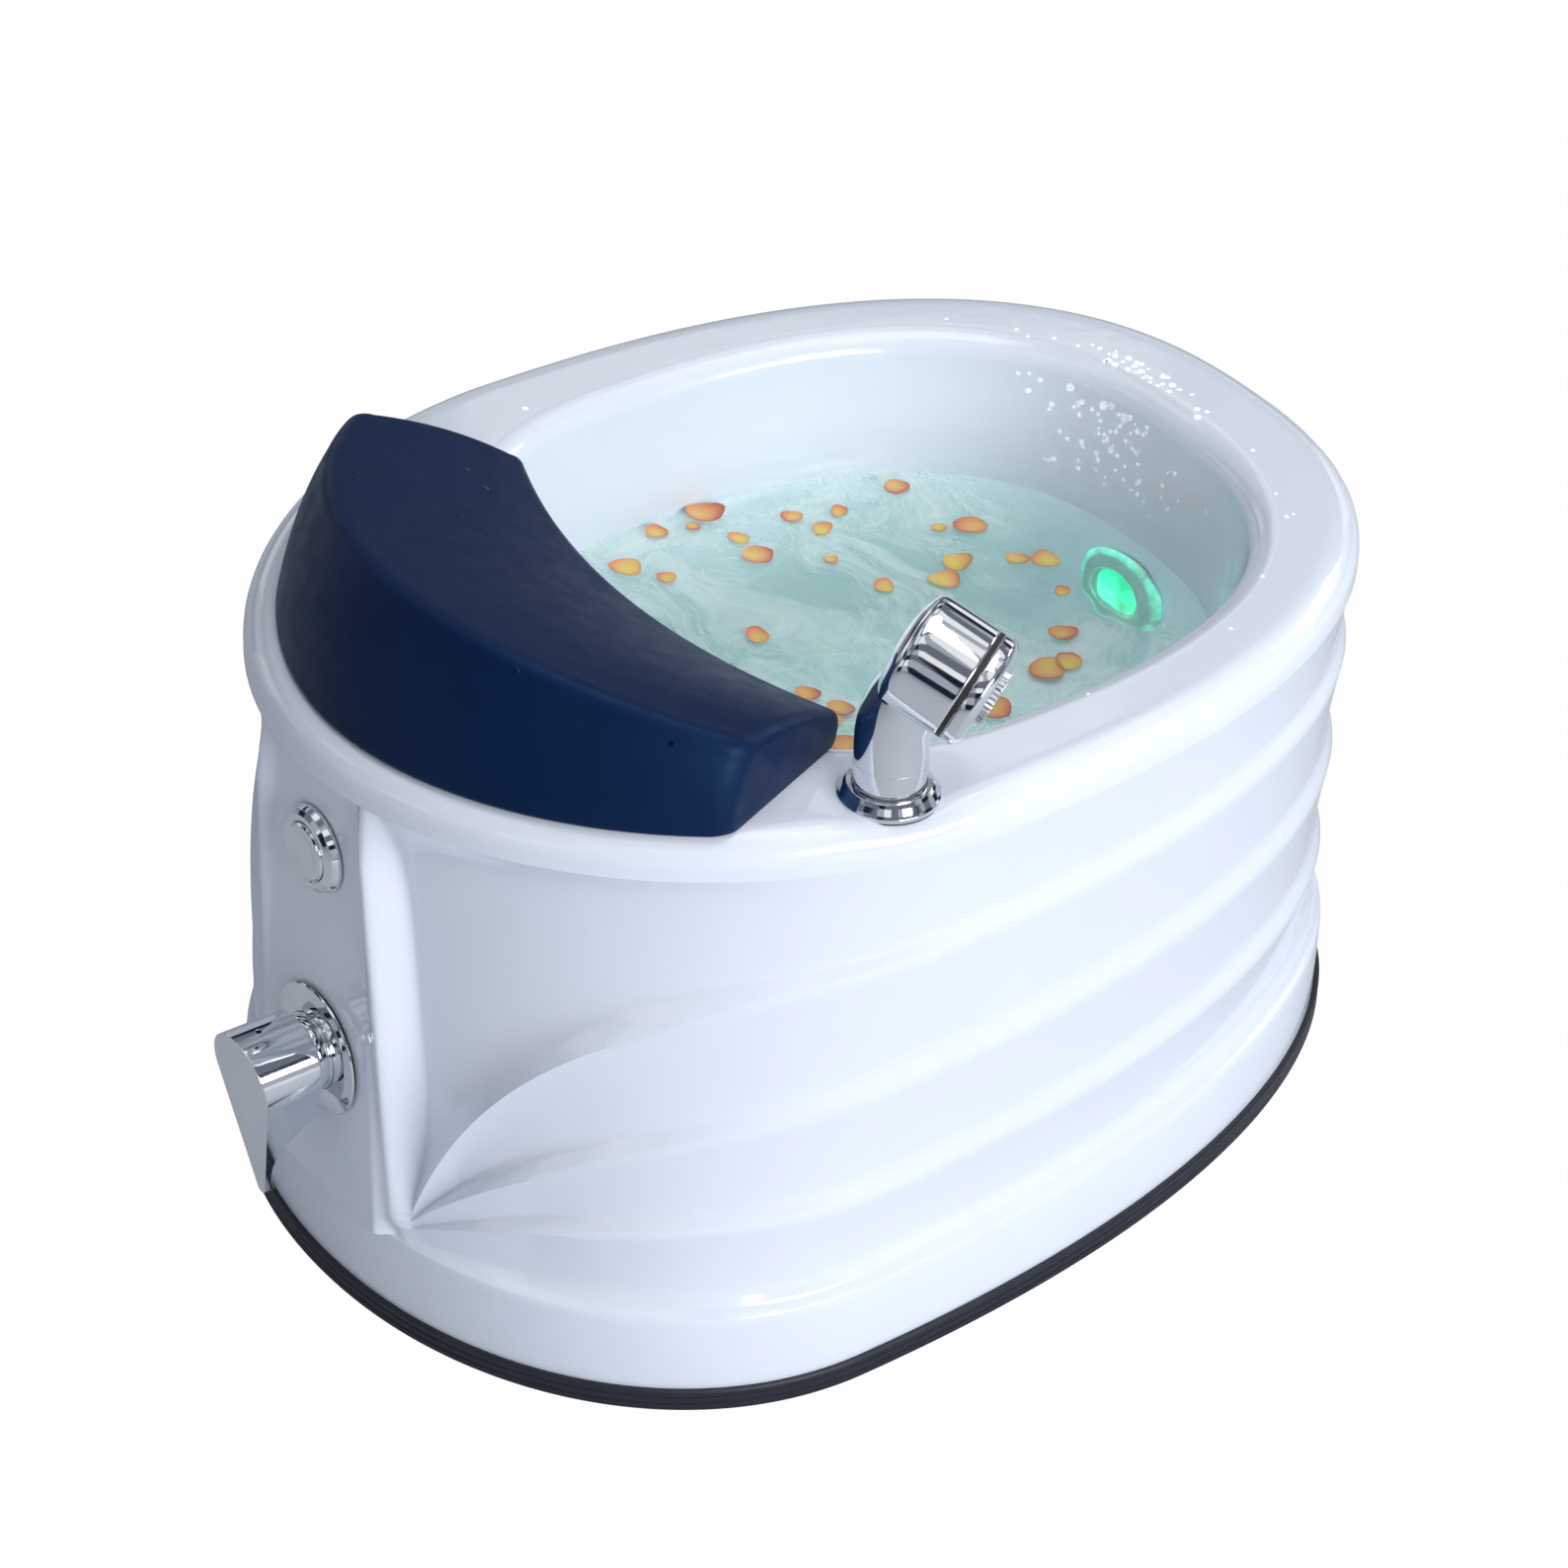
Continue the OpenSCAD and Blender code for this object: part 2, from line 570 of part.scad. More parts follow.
neck_over = 1.4;
nut_drop = 2.2;         // the sheet turns down on one side of the hole, and the nut stays clear
module collar_nut()
    color("goldenrod")
    sprayer_place()
        translate([0, 0, under_rim - nut_drop - nut_h])
            difference() {
                union() {
                    cylinder(r = collar_hole_r + nut_over, h = nut_h - nut_neck, $fn = 6);
                    cylinder(r = collar_hole_r + neck_over, h = nut_h, $fn = round_fn);
                }
                translate([0, 0, -1]) cylinder(r = barrel_r + fit, h = nut_h + 2, $fn = round_fn);
            }
module sprayer_bush()
    color("#e8e8e8")
    sprayer_place()
        rotate_extrude($fn = round_fn)
            polygon([[shank_r + fit, -barrel_len - 3], [bush_r + 3, -barrel_len - 3], [bush_r + 3, -barrel_len - seat_gap],
                     [bush_r, -barrel_len - seat_gap], [bush_r, collar_h - 2], [shank_r + fit, collar_h - 2]]);
stem_foot = collar_h + seat_gap;
stem_top = stem_foot + 30;
neck_tilt = 25;                // lean of the neck towards the head
neck_len = 44;
shank_len = barrel_len + 20;
head_lift = 50;          // height of the head's middle above the neck's root
head_z = stem_top + head_lift;
head_dome = 4;           // crown of the head's back
module head_place()
    sprayer_place() translate([0, 0, head_z]) rotate([0, 0, head_az]) rotate([0, 90 + head_dip, 0]) children();
module sprayer_body()
    color("silver")
    difference() {
        union() {
            sprayer_place() {
                translate([0, 0, -shank_len])
                    cylinder(r = shank_r, h = shank_len + stem_foot + 1, $fn = round_fn);
                translate([0, 0, stem_foot])
                    rotate_extrude($fn = round_fn)
                        polygon([[0, 0], [stem_r - 1, 0], [stem_r, 1], [stem_r, stem_top - stem_foot],
                                 [0, stem_top - stem_foot]]);
                translate([0, 0, stem_top]) {
                    sphere(r = stem_r, $fn = round_fn);
                    rotate([0, 0, head_az]) rotate([0, neck_tilt, 0])
                        cylinder(r1 = stem_r, r2 = stem_r - 3, h = neck_len, $fn = round_fn);
                }
            }
            head_place()
                translate([0, 0, -head_back])
                    rotate_extrude($fn = round_fn)
                        polygon([[0, -head_dome], [head_r * 0.4, -head_dome * 0.8],
                                 [head_r * 0.7, -head_dome * 0.35], [head_r - 4, 0.6], [head_r - 1.4, 2.2],
                                 [head_r - 0.3, 4.2], [head_r, 6], [head_r, head_len], [0, head_len]]);
        }
        sprayer_place()
            translate([0, 0, -shank_len - 1])
                cylinder(r = shank_r - 3.5, h = shank_len + 24, $fn = 48);
        head_place()
            translate([0, 0, face_z - 12]) cylinder(r = head_r - 3, h = 13, $fn = round_fn);
    }
module sprayer_seal_ring()
    color("#111111")
    head_place() translate([0, 0, face_z])
        difference() {
            cylinder(r = head_r - 0.8, h = ring_t, $fn = round_fn);
            translate([0, 0, -1]) cylinder(r = head_r - 3, h = ring_t + 2, $fn = round_fn);
        }
module spray_dial()
    color("silver")
    head_place() translate([0, 0, face_z + ring_t + seat_gap])
        rotate_extrude($fn = round_fn)
            polygon([[nozzle_r + fit, 0], [head_r - 0.4, 0], [head_r - 0.4, dial_t - dial_bevel], [head_r - dial_bevel, dial_t],
                     [nozzle_r + 3, dial_t], [nozzle_r + fit, dial_t - 2]]);
nozzle_r = 15;
nozzle_out = 4;
module spray_nozzle()
    color("silver")
    head_place()
        difference() {
            union() {
                translate([0, 0, face_z - 12 + eps]) cylinder(r = nozzle_r - 3, h = 12 + ring_t + dial_t + nozzle_out, $fn = round_fn);
                translate([0, 0, face_z - 6]) cylinder(r = head_r - 3 - fit, h = 6 + ring_t, $fn = round_fn);
                translate([0, 0, face_z]) cylinder(r = nozzle_r, h = ring_t + dial_t + nozzle_out, $fn = round_fn);
            }
            for (k = [0 : 7])
                rotate([0, 0, 45 * k]) translate([nozzle_r * 0.6, 0, face_z + ring_t + dial_t])
                    cylinder(r = 1.2, h = 10, $fn = 16);
            translate([0, 0, face_z - 20]) cylinder(r = 5, h = 16, $fn = 48);
        }
module hose_cone_nut()
    color("goldenrod")
    sprayer_place()
        translate([0, 0, -shank_len - 14])
            difference() {
                union() {
                    cylinder(r = shank_r - 3, h = 14, $fn = 48);
                    translate([0, 0, 4]) cylinder(r = shank_r, h = 10, $fn = 6);
                }
                translate([0, 0, -1]) cylinder(r = 4, h = 20, $fn = 48);
            }

// ---- mixer ---------------------------------------------------------------
module panel_place(z) translate([mid_x, panel_y, z]) rotate([90, 0, 0]) children();
barrel_mix_r = 20.5;
mixer_hole_r = barrel_mix_r + 0.3;
mix_gasket_t = 1.5;
pivot_out = 12;                // place of the lever pivot in front of the panel
dome_r = 20;
dome_gap = 0.6;
module mixer_gasket()
    color("#1a1a1a")
    panel_place(mixer_z)
        difference() {
            cylinder(r = escutcheon_r - 2, h = mix_gasket_t, $fn = round_fn);
            translate([0, 0, -1]) cylinder(r = barrel_mix_r + fit, h = 4, $fn = round_fn);
        }
module mixer_escutcheon()
    color("silver")
    panel_place(mixer_z)
        rotate_extrude($fn = round_fn)
            polygon([[barrel_mix_r + fit, mix_gasket_t], [escutcheon_r - 1, mix_gasket_t],
                     [escutcheon_r, mix_gasket_t + 0.6], [escutcheon_r - 0.6, mix_gasket_t + 1.6],
                     [escutcheon_r - 6, mix_gasket_t + 3], [barrel_mix_r + 4, mix_gasket_t + 3.4],
                     [barrel_mix_r + fit, mix_gasket_t + 3.4]]);
body_depth = 44;
port_depth = 28;
port_reach = 30;
port_r = 7;
module mixer_body()
    color("goldenrod")
    panel_place(mixer_z)
        difference() {
            union() {
                translate([0, 0, -body_depth]) cylinder(r = barrel_mix_r, h = body_depth + 3, $fn = round_fn);
                for (q = [0, 90, 180])
                    translate([0, 0, -port_depth]) rotate([0, 0, q]) rotate([0, 90, 0])
                        cylinder(r = port_r + 4, h = port_reach, $fn = 48);
            }
            translate([0, 0, -body_depth + 6]) cylinder(r = cartridge_r + fit, h = body_depth + 10, $fn = round_fn);
            for (q = [0, 90, 180])
                translate([0, 0, -port_depth]) rotate([0, 0, q]) rotate([0, 90, 0])
                    translate([0, 0, 12]) cylinder(r = port_r, h = port_reach, $fn = 48);
        }
module mixer_lock_nut()
    color("goldenrod")
    panel_place(mixer_z)
        translate([0, 0, -skirt_wall - 7])
            difference() {
                cylinder(r = barrel_mix_r + 8, h = 7, $fn = 6);
                translate([0, 0, -1]) cylinder(r = barrel_mix_r + fit, h = 12, $fn = round_fn);
            }
module nipple(len)
    difference() {
        union() {
            cylinder(r = port_r - fit, h = 10, $fn = 48);
            translate([0, 0, 10]) cylinder(r = port_r + 4, h = 6, $fn = 6);
            for (k = [0 : 2]) translate([0, 0, 16 + k * len / 3])
                cylinder(r1 = port_r + 0.6, r2 = port_r - 1, h = len / 3, $fn = 48);
        }
        translate([0, 0, -1]) cylinder(r = port_r - 2.5, h = 40 + len, $fn = 48);
    }
module inlet_nipples()
    color("goldenrod")
    panel_place(mixer_z) translate([0, 0, -port_depth])
        for (q = [0, 180]) rotate([0, 0, q]) rotate([0, 90, 0])
            translate([0, 0, port_reach - 10]) nipple(18);
module outlet_nipple()
    color("goldenrod")
    panel_place(mixer_z) translate([0, 0, -port_depth])
        rotate([0, 0, 90]) rotate([0, 90, 0]) translate([0, 0, port_reach - 10]) nipple(18);
cartridge_r = 17;
cartridge_top = -10;
module mixer_cartridge()
    color("#d8d8d0")
    panel_place(mixer_z)
        difference() {
            translate([0, 0, -body_depth + 6]) cylinder(r = cartridge_r, h = body_depth - 6 + cartridge_top, $fn = round_fn);
            for (q = [0, 180]) translate([9 * cos(q), 9 * sin(q), -body_depth]) cylinder(r = 3.5, h = 20, $fn = 48);
            translate([0, 0, cartridge_top - 8]) cylinder(r = 6, h = 20, $fn = 48);
        }
yoke_r = 15;
stem_slot = 5;
module stem_yoke()
    color("#c8c8c8")
    panel_place(mixer_z)
        difference() {
            union() {
                translate([0, 0, cartridge_top + seat_gap]) cylinder(r = yoke_r, h = 12, $fn = round_fn);
                translate([0, 0, cartridge_top - 7]) cylinder(r = 6 - fit, h = 10, $fn = 48);
                for (x = [-1, 1]) translate([x * (stem_slot + 2.4), 0, pivot_out / 2 + 1])
                    cube([4, 10, pivot_out + 8], center = true);
            }
            translate([0, 0, pivot_out + 1]) cube([2 * stem_slot + 0.8, 24, 26], center = true);
            translate([0, 0, pivot_out]) rotate([0, 90, 0]) cylinder(r = pin_r, h = 40, center = true, $fn = 48);
        }
pin_r = 1.5;
module stem_pivot_pin()
    color("silver")
    panel_place(mixer_z)
        translate([0, 0, pivot_out]) rotate([0, 90, 0])
            cylinder(r = pin_r - 0.02, h = 2 * stem_slot + 8, center = true, $fn = 48);
foot_flange = 2.5;
module mixer_bonnet()
    color("silver")
    panel_place(mixer_z)
        difference() {
            union() {
                intersection() {
                    translate([0, 0, pivot_out]) sphere(r = dome_r, $fn = 96);
                    translate([0, 0, 3]) cylinder(r = dome_r + 1, h = 40, $fn = round_fn);
                }
                translate([0, 0, 3]) cylinder(r = barrel_mix_r - 0.3, h = foot_flange, $fn = round_fn);
            }
            translate([0, 0, pivot_out]) sphere(r = dome_r - 2.2, $fn = 96);
            translate([0, 0, 2]) cylinder(r = yoke_r + 0.4, h = pivot_out - 2, $fn = round_fn);
            translate([0, 0, pivot_out]) cylinder(r = 13, h = 40, $fn = round_fn);
        }
stem_shaft_r = 4;
socket_depth = 5;
module lever_stem()
    color("silver")
    panel_place(mixer_z)
        difference() {
            translate([0, 0, pivot_out - 6]) cylinder(r = stem_shaft_r, h = dome_r + dome_gap + 6 + socket_depth, $fn = 48);
            translate([0, 0, pivot_out]) rotate([0, 90, 0]) cylinder(r = pin_r, h = 40, center = true, $fn = 48);
        }
tip_r = 3.5;
blade_root = 33;
module teardrop_outline()
    union() {
        circle(r = hub_r, $fn = 96);
        polygon([[-hub_r * cos(20), -hub_r * sin(20)], [-tip_r, -lever_len], [tip_r, -lever_len],
                 [hub_r * cos(20), -hub_r * sin(20)]]);
        translate([0, -lever_len]) circle(r = tip_r, $fn = 48);
    }
module mixer_handle()
    color("silver")
    panel_place(mixer_z)
        difference() {
            translate([0, 0, pivot_out + 2]) linear_extrude(face_out + hub_r) teardrop_outline();
            translate([0, 0, face_out]) rotate([face_slope, 0, 0]) translate([-2 * hub_r, -1.5 * lever_len, 0])
                cube([4 * hub_r, 1.5 * lever_len + 2 * hub_r, 2.5 * hub_r]);
            translate([0, 0, pivot_out]) sphere(r = dome_r + dome_gap, $fn = 96);
            translate([0, -lever_len + 14, 0]) rotate([0, 90, 0])
                cylinder(r = blade_root, h = 120, center = true, $fn = 96);
            cylinder(r = stem_shaft_r + fit, h = pivot_out + dome_r + dome_gap + socket_depth, $fn = 48);
            translate([0, hub_r + 1, screw_out]) rotate([90, 0, 0])
                cylinder(r = screw_r, h = hub_r, $fn = 32);
        }
screw_r = 1.6;
screw_out = pivot_out + dome_r + dome_gap + 2.5;
module handle_screw()
    color("#888888")
    panel_place(mixer_z)
        translate([0, hub_r * 0.75, screw_out]) rotate([90, 0, 0])
            cylinder(r = screw_r - fit, h = hub_r * 0.75 - stem_shaft_r - 0.1, $fn = 32);

// ---- air button ----------------------------------------------------------
barrel_btn_r = 18;
button_hole_r = barrel_btn_r + 0.3;
btn_gasket_t = 0.8;
bezel_h = 7;
cap_out = 8.6;
cap_t = 5;
barrel_btn_len = 28;
cap_room = button_travel + 1;
module air_gasket()
    color("#1a1a1a")
    panel_place(button_z)
        difference() {
            cylinder(r = bezel_r - 1, h = btn_gasket_t, $fn = round_fn);
            translate([0, 0, -1]) cylinder(r = barrel_btn_r + fit, h = 4, $fn = round_fn);
        }
module air_bezel()
    color("silver")
    panel_place(button_z)
        rotate_extrude($fn = round_fn)
            polygon([[cap_r + slip, bezel_h - 0.8], [cap_r + slip, cap_out - cap_t - cap_room],
                     [cap_r - 2, cap_out - cap_t - cap_room - 1], [cap_r - 2, -barrel_btn_len],
                     [barrel_btn_r, -barrel_btn_len], [barrel_btn_r, btn_gasket_t],
                     [bezel_r, btn_gasket_t], [bezel_r, btn_gasket_t + 1.5],
                     [bezel_r - 1.4, bezel_h - 1.6], [bezel_r - 4, bezel_h], [cap_r + 1.2, bezel_h]]);
module air_button()
    color("silver")
    panel_place(button_z)
        rotate_extrude($fn = round_fn)
            polygon([[0, cap_out - cap_t], [cap_r, cap_out - cap_t], [cap_r, cap_out - 1.2],
                     [cap_r - 1, cap_out - 0.2], [cap_r - 3, cap_out], [cap_r * 0.5, cap_out - 0.9],
                     [0, cap_out - 1.2]]);
bellows_foot = -barrel_btn_len + 2;
bellows_top = cap_out - cap_t;
bellows_folds = 4;
module air_bellows()
    color("#202020")
    panel_place(button_z)
        rotate_extrude($fn = 48)
            polygon([[0, bellows_foot], [cap_r - 4, bellows_foot],
                     for (k = [1 : 2 * bellows_folds - 1])
                         [cap_r - 4 - (k % 2) * 3, mix(bellows_foot, bellows_top, k / (2 * bellows_folds))],
                     [cap_r - 4, bellows_top], [0, bellows_top]]);
module air_back_cap()
    color("#dddddd")
    panel_place(button_z)
        difference() {
            union() {
                translate([0, 0, -barrel_btn_len - 3]) cylinder(r = barrel_btn_r, h = 3, $fn = round_fn);
                translate([0, 0, -barrel_btn_len - 3]) cylinder(r = cap_r - 2 - fit, h = 5, $fn = round_fn);
                translate([0, 0, -barrel_btn_len - 15]) cylinder(r = air_tube_r - 1, h = 14, $fn = 48);
            }
            translate([0, 0, -barrel_btn_len - 20]) cylinder(r = 1, h = 19, $fn = 24);
        }
module air_nut()
    color("#eeeeee")
    panel_place(button_z)
        translate([0, 0, -skirt_wall - 6])
            difference() {
                cylinder(r = barrel_btn_r + 6, h = 6, $fn = 6);
                translate([0, 0, -1]) cylinder(r = barrel_btn_r + fit, h = 12, $fn = round_fn);
            }

// ---- light ---------------------------------------------------------------
light_gasket_t = 1.5;
flange_base = light_seat + light_gasket_t;
flange_t = 4;
light_barrel_r = light_hole_r - slip;
light_barrel_len = 26;
module light_gasket()
    color("#1a1a1a")
    light_place() translate([0, 0, light_seat])
        difference() {
            cylinder(r = light_r - 2, h = light_gasket_t, $fn = round_fn);
            translate([0, 0, -1]) cylinder(r = light_barrel_r + fit, h = 4, $fn = round_fn);
        }
module light_housing()
    color("#d0d4d8")
    light_place()
        rotate_extrude($fn = round_fn)
            polygon([[0, -light_barrel_len], [light_barrel_r, -light_barrel_len], [light_barrel_r, flange_base],
                     [light_r - 1, flange_base], [light_r - 1, flange_base + 1.5], [lens_r + slip, flange_base + 1.5],
                     [lens_r + slip, -6], [lens_r - 2, -6], [lens_r - 2, -light_barrel_len + 3],
                     [0, -light_barrel_len + 3]]);
module light_bezel()
    color("#e8ecef")
    light_place() translate([0, 0, flange_base + 1.5])
        rotate_extrude($fn = round_fn)
            polygon([[lens_r - 1.2, 1.5], [lens_r + slip, 1.5], [lens_r + slip, 0], [light_r, 0], [light_r, 1],
                     [light_r - 1.5, 2.6], [lens_r + 3, flange_t + 0.6], [lens_r + 1, flange_t + 0.4],
                     [lens_r - 1.2, 2.6]]);
module light_lens()
    color("#40ff90")
    light_place()
        rotate_extrude($fn = round_fn)
            polygon([[0, flange_base - 3], [lens_r, flange_base - 3], [lens_r, flange_base + 2.9],
                     [lens_r - 1.4, flange_base + 3], [0, flange_base + 3]]);
module led_board()
    color("green")
    light_place() {
        translate([0, 0, -6]) cylinder(r = lens_r - slip, h = 1.6, $fn = round_fn);
        for (k = [0 : 5]) rotate([0, 0, 60 * k]) translate([10, 0, -4.4]) cylinder(r = 2.5, h = 1.4, $fn = 24);
    }
module light_nut()
    color("#eeeeee")
    light_place()
        translate([0, 0, -basin_wall - 1 - 7])
            difference() {
                cylinder(r = light_barrel_r + 8, h = 7, $fn = 6);
                translate([0, 0, -1]) cylinder(r = light_barrel_r + fit, h = 12, $fn = round_fn);
            }
module light_gland()
    color("#333333")
    light_place()
        translate([0, 0, -light_barrel_len - 12])
            difference() {
                union() {
                    cylinder(r = 6, h = 12, $fn = 48);
                    translate([0, 0, 6]) cylinder(r = 8, h = 6, $fn = 6);
                }
                translate([0, 0, -1]) cylinder(r = 2.6, h = 14, $fn = 48);
            }

// ---- drain ---------------------------------------------------------------
module drain_place() translate(at_z(drain_at, drain_seat_z)) children();
drain_gasket_t = 1.2;
drain_len = 22;
drain_wall = 2.5;
module drain_gasket()
    color("#1a1a1a")
    drain_place()
        difference() {
            cylinder(r = drain_r - 1, h = drain_gasket_t, $fn = round_fn);
            translate([0, 0, -1]) cylinder(r = drain_bore_r + drain_wall + fit, h = 4, $fn = round_fn);
        }
module drain_body()
    color("silver")
    drain_place()
        difference() {
            rotate_extrude($fn = round_fn)
                polygon([[drain_bore_r, -drain_len], [drain_bore_r + drain_wall, -drain_len],
                         [drain_bore_r + drain_wall, drain_gasket_t], [drain_r, drain_gasket_t],
                         [drain_r - 0.6, drain_gasket_t + 1.2], [drain_bore_r + 4, drain_gasket_t + 2],
                         [drain_bore_r, drain_gasket_t + 0.4]]);
        }
module drain_strainer()
    color("silver")
    drain_place() translate([0, 0, -drain_len + 3])
        difference() {
            cylinder(r = drain_bore_r - fit, h = 2, $fn = round_fn);
            for (k = [0 : 7]) rotate([0, 0, 45 * k]) translate([drain_bore_r * 0.65, 0, -1])
                cylinder(r = 3, h = 4, $fn = 32);
            translate([0, 0, -1]) cylinder(r = 3, h = 4, $fn = 32);
        }
module drain_nut()
    color("#eeeeee")
    drain_place()
        translate([0, 0, -basin_wall - 8])
            difference() {
                cylinder(r = drain_bore_r + drain_wall + 8, h = 8, $fn = 6);
                translate([0, 0, -1]) cylinder(r = drain_bore_r + drain_wall + fit, h = 12, $fn = round_fn);
            }
plug_top = drain_gasket_t + 2.6;
seal_z = 1;
seal_h = 2.6;
seal_t = 2.4;
module drain_plug()
    color("silver")
    drain_place()
        rotate_extrude($fn = round_fn)
            polygon([[0, -10], [drain_bore_r - 4, -10], [drain_bore_r - 1, -6], [drain_bore_r - slip, -5],
                     [drain_bore_r - slip, -seal_z - seal_h], [drain_bore_r - seal_t, -seal_z - seal_h],
                     [drain_bore_r - seal_t, -seal_z], [drain_bore_r - slip, -seal_z],
                     [drain_bore_r - slip, drain_gasket_t + 0.4 + seat_gap],
                     [drain_bore_r + 3, plug_top], [drain_bore_r + 2, plug_top + 2], [4, plug_top + 4],
                     [4, plug_top + 8], [7, plug_top + 10], [7, plug_top + 13], [5, plug_top + 14.5],
                     [0, plug_top + 14.5]]);
module plug_seal()
    color("#1a1a1a")
    drain_place() translate([0, 0, -seal_z - seal_h + 0.1])
        difference() {
            cylinder(r = drain_bore_r - fit, h = seal_h - 0.2, $fn = round_fn);
            translate([0, 0, -1]) cylinder(r = drain_bore_r - seal_t + 0.02, h = seal_h + 2, $fn = round_fn);
        }
tail_r = 20;            // pipe end of a 40 mm waste, separate from the bore above it
tail_wall = 2.5;
tail_collar_h = 12;
tail_grip = 22;         // length of the pipe end that the waste hose covers
module drain_tail()
    color("#f0f0f0")
    drain_place() translate([0, 0, -drain_len])
        difference() {
            union() {
                translate([0, 0, -tail_collar_h])
                    cylinder(r = drain_bore_r + drain_wall + 2, h = tail_collar_h, $fn = round_fn);
                translate([0, 0, -tail_collar_h - tail_grip])
                    cylinder(r = tail_r, h = tail_collar_h + tail_grip, $fn = round_fn);
            }
            translate([0, 0, -tail_collar_h - tail_grip - 1])
                cylinder(r = tail_r - tail_wall, h = tail_collar_h + tail_grip + 2, $fn = round_fn);
        }

// ---- electrics -----------------------------------------------------------
box_l = 110;
box_w = 62;
box_h = 44;
box_wall = 3;
box_y = 243;
lid_t = 3;
module box_place() translate([mid_x, box_y + mid_y, board_top + seat_gap]) children();
module box_posts(r, h)
    for (x = [-1, 1]) for (y = [-1, 1])
        translate([x * (box_l / 2 - 7), y * (box_w / 2 - 7), 0]) cylinder(r = r, h = h, $fn = 32);
module control_box()
    color("#c9ccd1")
    box_place()
        difference() {
            translate([-box_l / 2, -box_w / 2, 0]) cube([box_l, box_w, box_h]);
            difference() {
                translate([-box_l / 2 + box_wall, -box_w / 2 + box_wall, box_wall])
                    cube([box_l - 2 * box_wall, box_w - 2 * box_wall, box_h]);
                box_posts(5, box_h);
            }
            translate([0, 0, box_h - 14]) box_posts(screw_r, 20);
            translate([-28, -box_w / 2 - 1, box_h / 2]) rotate([-90, 0, 0])
                cylinder(r = gland_r + fit, h = 10, $fn = 48);
            translate([0, -box_w / 2 - 1, box_h / 2]) rotate([-90, 0, 0])
                cylinder(r = air_tube_r + fit, h = 10, $fn = 48);
            translate([28, -box_w / 2 - 1, box_h / 2]) rotate([-90, 0, 0])
                cylinder(r = gland_r + fit, h = 10, $fn = 48);
        }
module control_box_lid()
    color("#b9bcc2")
    box_place() translate([0, 0, box_h])
        difference() {
            translate([-box_l / 2, -box_w / 2, 0]) cube([box_l, box_w, lid_t]);
            translate([0, 0, -1]) box_posts(screw_r + 0.3, lid_t + 2);
        }
module lid_screws()
    color("silver")
    box_place() {
        translate([0, 0, box_h - 10]) box_posts(screw_r - fit, 10 + lid_t);
        translate([0, 0, box_h + lid_t]) box_posts(3, 2);
    }
air_switch_l = 34;
module air_switch()
    color("#303030")
    box_place() {
        translate([-air_switch_l / 2, -box_w / 2 + box_wall + 1, box_wall]) cube([air_switch_l, 24, box_h / 2 + 8]);
        translate([0, -box_w / 2 - 14, box_h / 2]) rotate([-90, 0, 0])
            cylinder(r = air_tube_r, h = 20 + box_wall, $fn = 48);
    }
gland_r = 8;
module cable_glands()
    color("#222222")
    box_place()
        for (x = [-28, 28])
            translate([x, -box_w / 2, box_h / 2]) rotate([90, 0, 0])
                difference() {
                    union() {
                        translate([0, 0, -box_wall]) cylinder(r = gland_r, h = box_wall + 1, $fn = 48);
                        translate([0, 0, 0.2]) cylinder(r = gland_r + 3, h = 5, $fn = 6);
                        translate([0, 0, 5]) cylinder(r = gland_r, h = 9, $fn = 48);
                    }
                    translate([0, 0, -10]) cylinder(r = 3.2, h = 40, $fn = 48);
                }

// ---- brackets between board and skirt ------------------------------------
bracket_w = 26;
bracket_t = 2;
bracket_h = 24;
bracket_angles = [-146, -100, -60, 60, 100, 146];
module bracket_place(a)
    translate(at_z(plan_offset(base_plan, a, -trim_wall - skirt_wall - 0.9), board_top))
        rotate([0, 0, atan2(plan_normal(base_plan, a)[1], plan_normal(base_plan, a)[0])]) children();
module board_brackets()
    color("silver")
    for (a = bracket_angles) bracket_place(a)
        difference() {
            union() {
                translate([-bracket_t, -bracket_w / 2, 0]) cube([bracket_t, bracket_w, bracket_h]);
                translate([-bracket_h, -bracket_w / 2, 0]) cube([bracket_h, bracket_w, bracket_t]);
            }
            translate([-bracket_h / 2 - 2, 0, -1]) cylinder(r = screw_hole_r + 0.2, h = 8, $fn = 32);
        }
module bracket_screws()
    color("#9a9a9a")
    for (a = bracket_angles) bracket_place(a)
        translate([-bracket_h / 2 - 2, 0, 0]) {
            translate([0, 0, -board_t + 2]) cylinder(r = screw_hole_r, h = board_t - 2 + bracket_t, $fn = 32);
            translate([0, 0, bracket_t]) cylinder(r = 4.2, h = 2.4, $fn = 32);
        }

air_tube_r = 3.5;

basin();
skirt();
base_trim();
base_board();
bowl_supports();
support_pads();
footrest();
footrest_inserts();
suction_cups();
sprayer_collar();
collar_gasket();
collar_nut();
sprayer_bush();
sprayer_body();
sprayer_seal_ring();
spray_dial();
spray_nozzle();
hose_cone_nut();
mixer_escutcheon();
mixer_gasket();
mixer_body();
mixer_lock_nut();
inlet_nipples();
outlet_nipple();
mixer_cartridge();
stem_yoke();
stem_pivot_pin();
mixer_bonnet();
lever_stem();
mixer_handle();
handle_screw();
air_bezel();
air_gasket();
air_button();
air_bellows();
air_back_cap();
air_nut();
light_bezel();
light_lens();
light_housing();
light_gasket();
light_nut();
led_board();
light_gland();
drain_body();
drain_gasket();
drain_strainer();
drain_nut();
drain_plug();
plug_seal();
drain_tail();
control_box();
control_box_lid();
lid_screws();
air_switch();
cable_glands();
board_brackets();
bracket_screws();
